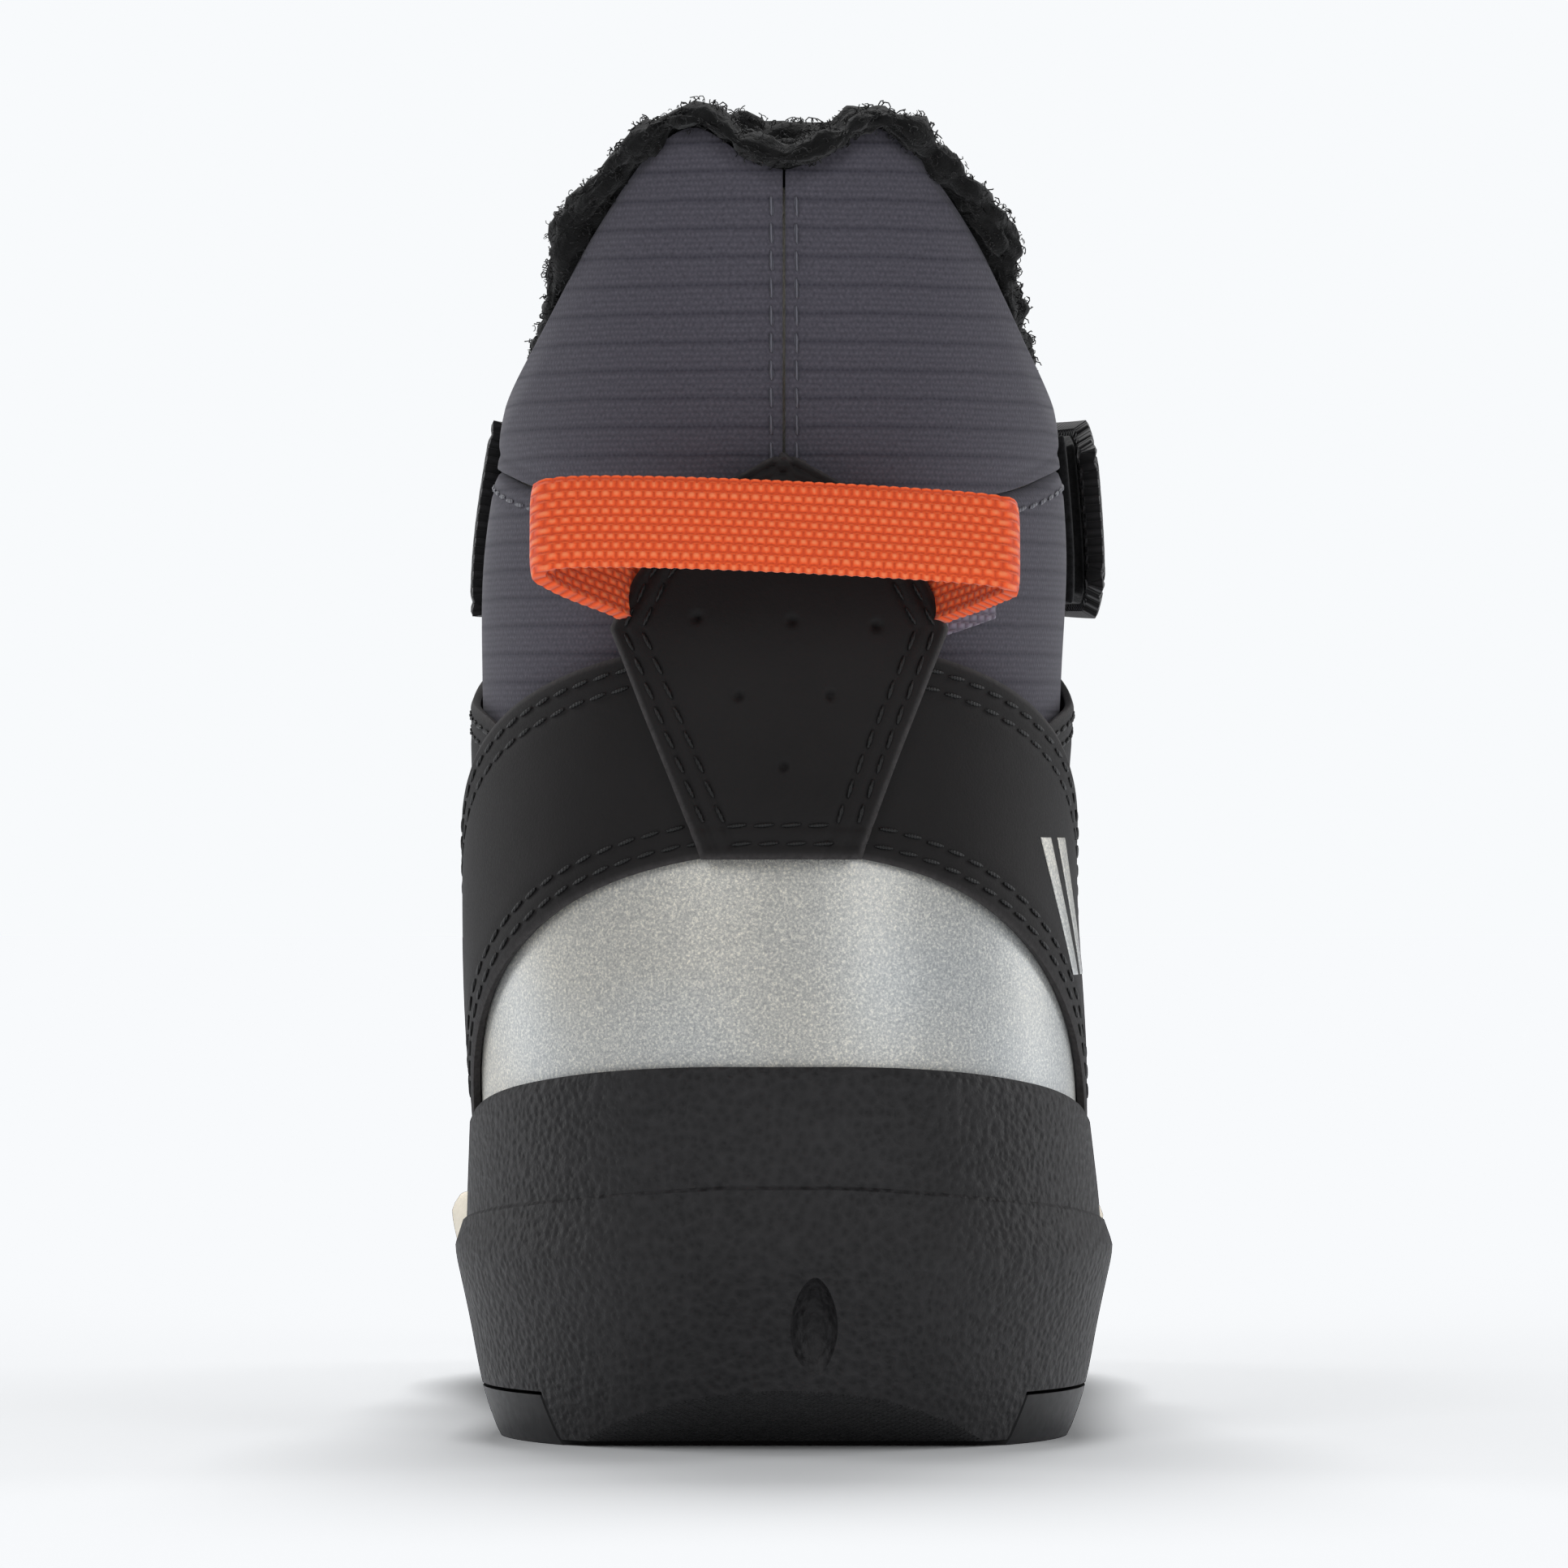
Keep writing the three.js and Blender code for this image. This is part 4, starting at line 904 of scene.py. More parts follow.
print("front:", ["vamp_panel", "toe_foil", tongue.name])

# %% [markdown]
# Each strap has two parts: a short end sewn to the inner side, and a long band that peels open from there.
# The band's underside carries hook tape at the free end, and a strip of loop tape waits for it on the boot.
# Rigid CAD bands stand for all of them. Here they get rounded edges, stitching and a finish with the loops
# of the pile.

# %% Upper strap
STRAP_MIDDLE, STRAP_WIDTH, TAPE_WIDTH = 103, 22, 19
STRAP_BASE = GAP
STRAP_REST = STRAP_BASE + 2 * TAPE_THICK + 2 * GAP
STRAP_CHANNEL, STRAP_ROW = 1.6, 1.8  # the pressed line and the stitches, in from the strap's edges
UPPER_FOLD, UPPER_TAB_END, UPPER_ROOT_BACK, FOLD_GAP = 79, 62, 62, 0.5
UPPER_LENGTH = 2 * float(girth_to_front(STRAP_MIDDLE)) - UPPER_TAB_END - UPPER_FOLD - FOLD_GAP


def tab(from_end):
    """The free end's corners are cut off: the width's share near the end."""
    return np.where(from_end < 5, mix(0.7, 1, np.clip(from_end / 5, 0, 1)), 1.0)


def rise(from_fold, low, high):
    return mix(low, high, smoothstep(0, 16, from_fold))


def strap_face(plan):
    """How a peeling strap's face stands off its underside: pressed along its stitches, never quite flat."""
    stitched = pressed(plan, ("low", "high"), [STRAP_CHANNEL]) + channel(plan["left"], STRAP_ROW)
    return STRAP_THICK + stitched + drape(plan["girth"], plan["z"], 0.15, 30)


def upper_band(start, stop, width):
    def at(u, v):
        z = STRAP_MIDDLE + (v - 0.5) * width
        return mix(start, stop, u) + 0 * v, z
    return at


def upper_strap_shape(u, v):
    z = STRAP_MIDDLE + (v - 0.5) * STRAP_WIDTH * tab(u * UPPER_LENGTH)
    return mix(UPPER_TAB_END, 2 * girth_to_front(z) - UPPER_FOLD - FOLD_GAP, u), z


def upper_hook_shape(u, v):
    girth = mix(UPPER_TAB_END + 3, UPPER_TAB_END + 33, u)
    return girth + 0 * v, STRAP_MIDDLE + (v - 0.5) * TAPE_WIDTH * tab(3 + u * 30)


upper_rows = []
_, plan = panel("upper_strap_sewn_end", 40, 40, upper_band(-UPPER_FOLD, -UPPER_ROOT_BACK, STRAP_WIDTH),
                lambda p: STRAP_BASE + STRAP_THICK + pressed(p, ("low", "high"), [STRAP_CHANNEL])
                + channel(p["right"], STRAP_ROW), STRAP_THICK, BLACK_FACING,
                stands_for=["upper_strap_root"], slot_name="black_strap", rim=0.4)
for edge in ("low", "high", "right"):
    sew(black_rows, plan, edge, [STRAP_ROW], 0.05, 0.95)
_, plan = panel("upper_strap_band", 240, 40, upper_strap_shape,
                lambda p: rise(p["right"], STRAP_BASE, STRAP_REST) + strap_face(p), STRAP_THICK, BLACK_FACING,
                body="upper_strap", stands_for=["upper_strap"], slot_name="black_strap", rim=0.4)
for edge in ("low", "high", "left"):
    sew(upper_rows, plan, edge, [STRAP_ROW], 0.03, 0.97)
panel("upper_strap_loop_tape", 60, 40, upper_hook_shape, STRAP_REST - GAP + 0.1, TAPE_THICK, LOOP_PILE,
      body="upper_strap", stands_for=["upper_strap_hook_tape"], slot_name="hook_tape", rim=0.3)
panel("upper_landing_tape", 60, 40, upper_band(UPPER_TAB_END - 1, UPPER_TAB_END + 35, TAPE_WIDTH),
      STRAP_BASE + TAPE_THICK, TAPE_THICK, HOOK_TAPE, stands_for=["upper_strap_landing"],
      slot_name="hook_tape", rim=0.3)
print("upper strap:", round(UPPER_LENGTH), "mm from its fold to its free end")

# %% [markdown]
# The instep strap slants: it climbs from one side over the crest of the instep and down the other. So its
# place is given by how far round it is, from -1 at the outer side's low point over 0 at the crest to 1 at
# the inner side's, and its height falls off with the square of that.

# %% Lower strap
CREST, SIDE_LOW, SLANT = (63.5, 74), (37, 43), 0.78  # heights of the strap's two edges, and its lean
LOWER_BASE = BAND_IN
LOWER_REST = LOWER_BASE + 2 * TAPE_THICK + 2 * GAP
LOWER_FOLD, LOWER_ROOT_END, LOWER_TIP = 0.64, 0.8, -0.66
LOWER_LENGTH = 70


def lower_strap_at(along, width):
    crest, low = mix(*CREST, width), mix(*SIDE_LOW, width)
    z = crest - (crest - low) * np.minimum(along * along, 1.3)
    girth = girth_at(front_line(crest) - SLANT * (crest - z), z)
    return np.where(along < 0, girth, 2 * girth_to_front(z) - girth), z


def lower_band(start, stop, width=lambda u: 1 + 0 * u):
    return lambda u, v: lower_strap_at(mix(start, stop, u), 0.5 + (v - 0.5) * width(u))


lower_rows = []
_, plan = panel("lower_strap_sewn_end", 24, 40, lower_band(LOWER_FOLD + 0.012, LOWER_ROOT_END),
                lambda p: LOWER_BASE + STRAP_THICK + channel(p["right"], STRAP_ROW), STRAP_THICK, BLACK_FACING,
                stands_for=["lower_strap_root"], slot_name="black_strap", rim=0.4)
for edge in ("low", "high", "right"):
    sew(black_rows, plan, edge, [STRAP_ROW], 0.05, 0.95)
_, plan = panel("lower_strap_band", 200, 40,
                lower_band(LOWER_TIP, LOWER_FOLD, lambda u: tab(u * LOWER_LENGTH)),
                lambda p: rise(p["right"], LOWER_BASE, LOWER_REST) + strap_face(p), STRAP_THICK, BLACK_FACING,
                body="lower_strap", stands_for=["lower_strap"], slot_name="black_strap", rim=0.4)
for edge in ("low", "high", "left"):
    sew(lower_rows, plan, edge, [STRAP_ROW], 0.03, 0.97)
panel("lower_strap_loop_tape", 40, 30, lower_band(LOWER_TIP + 0.03, LOWER_TIP + 0.27, lambda u: 0.8 + 0 * u),
      LOWER_REST - GAP + 0.1, TAPE_THICK, LOOP_PILE, body="lower_strap",
      stands_for=["lower_strap_hook_tape"], slot_name="hook_tape", rim=0.3)
panel("lower_landing_tape", 40, 30, lower_band(LOWER_TIP - 0.02, LOWER_TIP + 0.3, lambda u: 0.84 + 0 * u),
      LOWER_BASE + TAPE_THICK, TAPE_THICK, HOOK_TAPE,
      stands_for=["lower_strap_landing"], slot_name="hook_tape", rim=0.3)


# %% [markdown]
# The rows collected so far become beads of thread, one mesh for each colour and for each strap, because the
# stitches on a strap must move with it.

# %% Sew every row
def stitching(name, rows, thread, body):
    places, turns = (np.concatenate(part) for part in zip(*rows))
    strew(name, bead(), places, turns, thread, body)
    print(name, len(places), "stitches")


stitching("stitching_black", black_rows, BLACK_THREAD, "boot")
stitching("stitching_grey", grey_rows, GREY_THREAD, "boot")
stitching("stitching_upper_strap", upper_rows, BLACK_THREAD, "upper_strap")
stitching("stitching_lower_strap", lower_rows, BLACK_THREAD, "lower_strap")

# %% [markdown]
# The pull loop is one length of webbing. Both ends are sewn under the patch; between them it stands back
# from the heel, with a tight fold at each side. Its route is drawn in plan as a few points and smoothed,
# and a long thin grid follows the route. It must hold on to the boot and still swing.

# %% Pull loop
LOOP_WIDTH, LOOP_THICK, ANCHOR_Z, ANCHOR_Y, LOOP_RISE, LOOP_REACH = 9.3, 1.5, 95, -27.6, 0.4, 14
LOOP_DRIFT = 1.0  # how far the band hangs to the inner side
LOOP_TILT = 0.045  # the band hangs a little lower on the outer side
LOOP_STEPS, LOOP_ROWS = 320, 18  # the grid's faces along and across the webbing


def loop_route():
    """Points along the middle of the webbing as (x, distance back), from the outer side to the inner."""
    sewn = [(x, ANCHOR_Y - float(layer(girth_across(x), ANCHOR_Z, QUARTER_IN + 0.2 + LOOP_THICK / 2)[1]))
            for x in (4.0, 9.0, 13.6)]
    half = sewn + [(17.6, 3.5), (20.7, 6.4), (23.3, 9.3), (24.4, 10.9), (23.9, 12.3), (20, 13.2), (11, 13.8)]
    return np.array(half + [(0, LOOP_REACH)] + [(-x, back) for x, back in reversed(half)])


def pull_loop():
    knots = loop_route()
    lengths = np.concatenate([[0], np.cumsum(np.linalg.norm(np.diff(knots, axis=0), axis=1))])
    run = np.linspace(0, lengths[-1], LOOP_STEPS + 1)
    x, back = (through(*zip(lengths, knots[:, k]))(run) for k in (0, 1))
    dx, dback = np.gradient(x), np.gradient(back)
    norm = np.hypot(dx, dback)
    # Outward is to the right of the route's direction, seen from above with "back" pointing up the page.
    out_x, out_back = dback / norm, -dx / norm
    if out_back[LOOP_STEPS // 2] < 0:
        out_x, out_back = -out_x, -out_back
    across = np.linspace(-1, 1, LOOP_ROWS + 1)
    scallop = 1 + 0.014 * np.sin(2 * math.pi * run / PICK_MM)
    bow = LOOP_THICK / 2 - 0.25 * across[:, None] ** 6
    up = ANCHOR_Z + LOOP_RISE * back - LOOP_TILT * x * np.clip(back / LOOP_REACH, 0, 1)
    lean = 1.2 * np.clip(back / 8, 0, 1)
    drift = LOOP_DRIFT * smoothstep(3, 10, back)
    points = np.stack([
        x + bow * out_x - drift,
        ANCHOR_Y - (back + bow * out_back) + across[:, None] * lean,
        up + across[:, None] * scallop * LOOP_WIDTH / 2], axis=-1)
    bm = flat_grid(LOOP_STEPS, LOOP_ROWS)
    uv = bm.loops.layers.uv.new("cloth")
    for vertex, i, j in grid_spots(bm, LOOP_STEPS, LOOP_ROWS):
        for loop in vertex.link_loops:
            loop[uv].uv = (run[i] * MM, across[j] * LOOP_WIDTH / 2 * MM)
        vertex.co = points[j, i] * MM
    # The route runs from the outer side to the inner, so the grid's faces are turned to look outwards.
    bm.faces.ensure_lookup_table()
    bm.normal_update()
    if bm.faces[len(bm.faces) // 2].normal.y > 0:
        bmesh.ops.reverse_faces(bm, faces=bm.faces)
    loop_piece = link_piece("pull_loop_webbing", bm, ORANGE_WEBBING, None,
                            ["pull_loop", "pull_loop_end_medial", "pull_loop_end_lateral"], "orange_webbing")
    thicken(loop_piece, LOOP_THICK, 0.4, 3, even=False)
    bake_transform(loop_piece)
    print("pull loop:", round(float(lengths[-1])), "mm of webbing, sewn ends included")


pull_loop()

# %% [markdown]
# The lining is a sock of fleece. It comes up inside, rolls over the collar's edge and stands a few
# millimetres proud of it, which is all that shows from behind. It is a grid that runs round the boot and
# along the sock's profile: down the outside, over the roll and down the inside. Noise pushes the vertices
# into clumps, most on the roll.

# %% Fleece lining
TONGUE_TOP = 144
SOCK_BOTTOM, SOCK_THICK = FLOOR_HEIGHT + 2 * GAP + BOARD, 2.0
AROUND, CLUMP_SIZE = 260, 4.4


def lining_rim(share):
    s = np.abs(share) * girth_to_front(120)
    return mix(collar_rim(s), TONGUE_TOP - 0.8, smoothstep(84, 94, s))


def lining_rings():
    """Rings of (height, offset) up the outside, over the roll and down the inside of the sock."""
    share = np.linspace(-1, 1, AROUND + 1)
    rim = lining_rim(share)
    level = lambda z, offset: (np.full_like(share, z), offset)
    part = lambda t, offset: (mix(91, rim, t), offset)
    rings = [level(SOCK_BOTTOM, FLEECE_OUT - 1.5), level(SOCK_BOTTOM + 3, FLEECE_OUT)]
    rings += [level(z, FLEECE_OUT) for z in (28, 37, 46, 55, 64, 73, 82, 90)]
    rings += [part(t, FLEECE_OUT) for t in (0.12, 0.3, 0.55, 0.8)]
    # At the sides the roll sits back over the foam; behind the heel tendon it hangs a little over the edge.
    hang = 1 - smoothstep(31, 45, np.abs(share) * girth_to_front(120))
    roll = ((0.3, FLEECE_OUT), (0.7, -1.4), (0.8, 0.5), (1.8, 1.7), (3.2, 1.9), (4.6, 1.2), (5.4, -0.5),
            (5.6, -2.6), (5.2, -4.8), (3.8, -6.8), (1.5, -8.0))
    low = mix(0.42, 1.2, smoothstep(18, 34, np.abs(share) * girth_to_front(120)))
    rings += [(rim + high * low, np.minimum(offset, mix(-2.6, offset, hang))) for high, offset in roll]
    rings += [part(t, FLEECE_IN) for t in (0.8, 0.5, 0.25)]
    rings += [level(z, FLEECE_IN) for z in (82, 68, 55, 42, 30)]
    return share, rings + [level(SOCK_BOTTOM + SOCK_THICK, FLEECE_IN - 1)]


def lining_points():
    share, rings = lining_rings()
    keys, first_roll, last_roll = len(rings), 14, 25
    fine = np.concatenate([np.linspace(k, k + 1, 7 if first_roll <= k < last_roll else 3)[:-1]
                           for k in range(keys - 1)] + [[keys - 1]])
    heights = np.stack([ring[0] for ring in rings])
    offsets = np.stack([ring[1] + 0 * share for ring in rings])
    k = np.minimum(fine.astype(int), keys - 2)
    t = fine - k
    z = mix(heights[k], heights[k + 1], t[:, None])
    offset = mix(offsets[k], offsets[k + 1], t[:, None])
    girth = share[None, :] * girth_to_front(z)
    past_roll = smoothstep(last_roll, last_roll + 4, fine)
    on_roll = smoothstep(first_roll - 1.5, first_roll + 1.5, fine) * (1 - past_roll)
    return layer(girth, z, offset), on_roll


def clumped(point, size):
    """Curly clumps: round bumps with sharp valleys between them."""
    coarse = abs(noise.noise(Vector(point) / size)) ** 0.7
    small = abs(noise.noise(Vector(point) / (size * 0.42) + Vector((9, 4, 2)))) ** 0.8
    return 1.25 * coarse + 0.6 * small


def fleece_lining():
    points, on_roll = lining_points()
    rows = len(points) - 1
    bm = flat_grid(AROUND, rows)
    weight = bm.verts.layers.float.new("roll")
    for vertex, i, j in grid_spots(bm, AROUND, rows):
        vertex[weight] = on_roll[j]
        vertex.co = points[j, i]
    bmesh.ops.remove_doubles(bm, verts=bm.verts, dist=0.001)
    bmesh.ops.holes_fill(bm, edges=[e for e in bm.edges if e.is_boundary])
    bm.normal_update()
    for vertex in bm.verts:
        push = clumped(vertex.co, CLUMP_SIZE) - 0.5
        vertex.co += vertex.normal * push * (0.25 + 1.5 * vertex[weight])
    bmesh.ops.scale(bm, vec=(MM, MM, MM), verts=bm.verts)
    lining = link_piece("sherpa_lining", bm, FLEECE, "boot", ["fleece_lining"], "fleece")
    return lining


lining = fleece_lining()
print("lining:", len(lining.data.vertices), "vertices")

# %% [markdown]
# Clumps alone look like knobbly rubber. Real sherpa ends in thousands of loose curls, so some thousand
# small hooks of fibre are stood on the roll. One hook is a thin rod spun through about two thirds of a
# turn. Each copy is turned and sized at random, always from the same seed.

# %% Curls on the roll
CURLS, CURL_RADIUS = 7400, 0.42


def curl():
    bm = bmesh.new()
    away = Vector((CURL_RADIUS, 0, 0))
    bmesh.ops.create_circle(bm, cap_ends=True, segments=3, radius=0.075, matrix=Matrix.Translation(away))
    bmesh.ops.rotate(bm, verts=bm.verts, cent=away, matrix=Matrix.Rotation(math.pi / 2, 3, "X"))
    bmesh.ops.spin(bm, geom=bm.verts[:] + bm.edges[:] + bm.faces[:], cent=(0, 0, 0), axis=(0, 0, 1),
                   dvec=(0, 0, 0.05), angle=math.radians(230), steps=4, use_merge=False)
    bmesh.ops.remove_doubles(bm, verts=bm.verts, dist=0.0005)
    bmesh.ops.recalc_face_normals(bm, faces=bm.faces)
    return bm


def random_turns(count, low, high):
    turns = np.linalg.qr(rng.normal(size=(count, 3, 3)))[0]
    turns *= np.sign(np.linalg.det(turns))[:, None, None]
    return turns * rng.uniform(low, high, count)[:, None, None]


def curls_on(piece, count, low_size, high_size, keep):
    """Random places on a mesh, spread by area, for curls to stand on."""
    mesh = piece.data
    triangles = mesh.loop_triangles
    mesh.calc_loop_triangles()
    corners = np.array([[mesh.vertices[i].co[:] for i in t.vertices] for t in triangles]) / MM
    centres = corners.mean(axis=1)
    chosen = corners[keep(centres)]
    cross = np.cross(chosen[:, 1] - chosen[:, 0], chosen[:, 2] - chosen[:, 0])
    area = np.linalg.norm(cross, axis=1)
    picks = rng.choice(len(chosen), count, p=area / area.sum())
    a, b = rng.uniform(size=(2, count))
    a, b = np.where(a + b > 1, 1 - a, a), np.where(a + b > 1, 1 - b, b)
    faces = chosen[picks]
    places = faces[:, 0] + a[:, None] * (faces[:, 1] - faces[:, 0]) + b[:, None] * (faces[:, 2] - faces[:, 0])
    places += cross[picks] / area[picks, None] * rng.uniform(0.0, 0.45, count)[:, None]
    return places, random_turns(count, low_size, high_size)


def above_collar(centres):
    girth = girth_at(centres[:, 1], centres[:, 2])
    rim = lining_rim(girth / girth_to_front(centres[:, 2]))
    return centres[:, 2] > np.minimum(rim, TONGUE_TOP) - 7


places, turns = curls_on(lining, CURLS, 0.55, 1.2, above_collar)
strew("sherpa_curls", curl(), places, turns, FLEECE, "boot", slot_name="fleece")
print("curls:", len(places))

# %% [markdown]
# Two small things are easily missed: the patch's cut lower edge frays into pale fibres of its backing, and
# a sliver of mauve stay tape peeps out below the outer end of the pull loop. Fibres are strewn like the
# curls.

# %% Frayed edge and stay tape
def fibre():
    bm = bmesh.new()
    bmesh.ops.create_cone(bm, cap_ends=True, segments=4, radius1=0.035, radius2=0.02, depth=1.1)
    for vertex in bm.verts:
        vertex.co.x += 0.25 * vertex.co.z ** 2
    return bm


LINT = sewing_thread("polyester_backing_fibre", "#6A6866", "#A5A29E", 0.1)
FIBRES = 90
edge_line = seam_line(patch_plan, "low", 0.0, 0.02, 0.98, FIBRES)
fray = layer(edge_line[:, 0], edge_line[:, 1] - rng.uniform(-0.2, 0.35, FIBRES), edge_line[:, 2] - 0.35)
strew("frayed_backing", fibre(), fray, random_turns(FIBRES, 0.5, 1.0), LINT, "boot")
STAY_TAPE = woven_webbing("woven_stay_tape_mauve", "#57505C", "#6B6270", "#7C7281")
panel("loop_stay_tape", 20, 6, lambda u, v: (mix(17.5, 27, u), mix(88.6, 90.4, v) + 2.6 * u),
      QUARTER_OUT + 0.5, 0.3, STAY_TAPE, rim=0.1, rim_width=0.3)
print("fibres:", len(fray))

# %% [markdown]
# The sole is one moulding to the eye but three pieces in fact: a heel cup whose walls hold the heel, a pale
# foam midsole under the forefoot and a hard tread. Their common outside is made first, as a skin from the
# middle of the tread, out to the edge, up the wall and in again. Solid cutters then part it, because a
# boolean gives exact, clean joints where three pieces meet.

# %% Outside of the sole
TREAD_THICK, FORE_TREAD_TOP, TOE_SPRING, RIDGE_HEIGHT = 5.5, 13.7, 9, 21.5
CREASE = through((0, 28.8), (30, 26.6), (52, 24.2), (75, 23.0))
spring_at = through((0.62 * TOE_FRONT, 0), (TOE_FRONT + 5, TOE_SPRING))
wall_low = through((0, 0.9), (1.2, 1.5), (6, 2.95), (13, 4.3), (19.5, 5.6), (21.2, 5.75))


def skin(points, size=1.0):
    """A closed mesh from rows of points, each row running round the boot."""
    rows, columns = len(points) - 1, points.shape[1] - 1
    bm = flat_grid(columns, rows)
    for vertex, i, j in grid_spots(bm, columns, rows):
        vertex.co = points[j, i] * size
    bmesh.ops.remove_doubles(bm, verts=bm.verts, dist=0.01 * size)
    bmesh.ops.holes_fill(bm, edges=[e for e in bm.edges if e.is_boundary])
    bmesh.ops.recalc_face_normals(bm, faces=bm.faces)
    return bm


def wall_offset(z, crease, top):
    """How far the wall stands off the last: it swells to a ridge near 21 mm, creases, and leans in above."""
    middle = mix(5.75, 4.75, np.clip((z - RIDGE_HEIGHT) / np.maximum(crease - RIDGE_HEIGHT, 0.1), 0, 1))
    upper = mix(4.35, BAND_OUT + 0.2, np.clip((z - crease) / np.maximum(top - crease, 0.1), 0, 1))
    offset = np.where(z < RIDGE_HEIGHT, wall_low(z), np.where(z <= crease + 0.001, middle, upper))
    return offset - 0.35 * smoothstep(-0.9, 0, z - top) ** 2


def sole_outside():
    """Rows of the skin: across the floor, up to the crease, over it to the top, and in over the lip."""
    share = np.linspace(-1, 1, 301)
    stages = [("floor", s) for s in np.linspace(0, 0.9, 6)]
    stages += [("below", s) for s in np.linspace(0, 1, 27)]
    stages += [("above", s) for s in (0.03, 0.1, *np.linspace(0.18, 1, 13))]
    stages += [("lip", s) for s in (0.1, 0.3, 0.5)]
    girth20 = share * girth_to_front(20)
    foot = last_point(girth20, 20.0)
    top = SOLE_TOP(foot[..., 1])
    crease = np.minimum(CREASE(np.abs(girth20)), top - 1)
    rows = []
    for stage, s in stages:
        z = {"floor": 0 * top, "below": crease * s, "above": mix(crease, top, s), "lip": top}[stage]
        girth = np.sign(girth20) * girth_at(foot[..., 1], z)
        ring = layer(girth, z, wall_offset(z, crease, top), level=True)
        if stage == "floor":
            ring[:, 0] *= s
        if stage == "lip":
            ring[:, 0] *= 1 - s * 1.7
            ring[:, 1] = mix(ring[:, 1], 60, s * 0.6)
        ring[:, 2] = z + spring_at(foot[..., 1]) * np.clip(1 - z / top, 0, 1)
        rows.append(ring)
    return skin(np.stack(rows))


def last_inside():
    """The space that the upper fills, as a closed skin."""
    share, heights = np.linspace(-1, 1, 161), [FLOOR_HEIGHT, 20, 25, 30, 36, 42, 48, 58]
    return skin(np.stack(
        [layer(share * girth_to_front(z), z, QUARTER_OUT + 1.3 * GAP, level=True) for z in heights]))


def side_block(corners):
    """A block across the boot with its profile given in the side view as (y, z) corners."""
    bm = bmesh.new()
    face = bm.faces.new([bm.verts.new((-300, y, z)) for y, z in corners])
    slab = bmesh.ops.extrude_face_region(bm, geom=[face])
    moved = [v for v in slab["geom"] if isinstance(v, bmesh.types.BMVert)]
    bmesh.ops.translate(bm, vec=(600, 0, 0), verts=moved)
    bmesh.ops.recalc_face_normals(bm, faces=bm.faces)
    return bm


def bar(length, width, height, middle, turn):
    bm = bmesh.new()
    bmesh.ops.create_cube(bm, size=1)
    bmesh.ops.scale(bm, vec=(length, width, height), verts=bm.verts)
    bmesh.ops.rotate(bm, verts=bm.verts, cent=(0, 0, 0), matrix=Matrix.Rotation(turn, 3, "Z"))
    bmesh.ops.translate(bm, vec=middle, verts=bm.verts)
    return bm


def carve(bm, *cuts):
    """Booleans in turn: each cut is (operation, bmesh). Returns a new bmesh, in millimetres."""
    scene = bpy.context.scene
    objects = []
    for k, shape in enumerate([bm] + [cut[1] for cut in cuts]):
        data = bpy.data.meshes.new("carving")
        shape.to_mesh(data)
        shape.free()
        objects.append(bpy.data.objects.new("carving", data))
        scene.collection.objects.link(objects[-1])
    work = objects[0]
    for (operation, _), cutter in zip(cuts, objects[1:]):
        boolean = work.modifiers.new("cut", "BOOLEAN")
        boolean.operation, boolean.object, boolean.solver = operation, cutter, "EXACT"
    bpy.context.view_layer.update()
    result = bmesh.new()
    result.from_mesh(work.evaluated_get(bpy.context.evaluated_depsgraph_get()).to_mesh())
    for spent in objects:
        data = spent.data
        bpy.data.objects.remove(spent)
        bpy.data.meshes.remove(data)
    return result


outside = sole_outside()
shell = carve(outside, ("DIFFERENCE", last_inside()))
print("sole shell:", len(shell.verts), "vertices, volume", round(shell.calc_volume() / 1000), "cm3")

# %% [markdown]
# The heel cup keeps everything behind the slanted joint. At its back the lower edge is cut to a bevel that
# meets the ground as the heel strikes, and a pointed slot is let into the wall, off centre. The bevel's
# diamond knurl and the stipple above it are in the finish, because their relief is a few tenths of a
# millimetre.

# %% Heel cup, midsole and tread
STRIKE_FRONT, STRIKE_EDGE, STRIKE_LENGTH, TREAD_CLEAR = -20, 8, 14.5, 0.6
LUG_PITCH, LUG_SLANT, SLOT_WIDTH = 15, 0.3, 3.6
JOINT_LOW, JOINT_HIGH, JOINT_TOP = 46, 60, 28
FAR = 300
heel_end = HEEL_BACK - 4
slope = (STRIKE_EDGE - TREAD_CLEAR) / STRIKE_LENGTH
bevel_block = side_block([
    (heel_end - 60, -5), (heel_end + STRIKE_LENGTH, -5), (heel_end + STRIKE_LENGTH, TREAD_CLEAR),
    (heel_end - 60, STRIKE_EDGE + slope * 60)])
slot_block = bmesh.new()
bmesh.ops.create_uvsphere(slot_block, u_segments=40, v_segments=28, radius=1)
for vertex in slot_block.verts:
    x, y, z = vertex.co
    vertex.co = (3.4 + 3.2 * x * (1 - 0.25 * z * z), HEEL_BACK - 5.7 + 5 * y, 12.6 + 6.9 * z)
cup = carve(
    shell.copy(),
    ("INTERSECT", side_block([
        (-FAR, TREAD_CLEAR), (STRIKE_FRONT - GAP, TREAD_CLEAR), (STRIKE_FRONT - GAP, TREAD_THICK + GAP),
        (JOINT_LOW - 6, TREAD_THICK + GAP), (JOINT_LOW, FORE_TREAD_TOP + GAP), (JOINT_HIGH, JOINT_TOP),
        (JOINT_HIGH, FAR), (-FAR, FAR)])),
    ("DIFFERENCE", bevel_block), ("DIFFERENCE", slot_block),
    ("DIFFERENCE", bar(15.8, 54.8, 20, (0, 12, FLOOR_HEIGHT - 2.2 + 10), 0)))
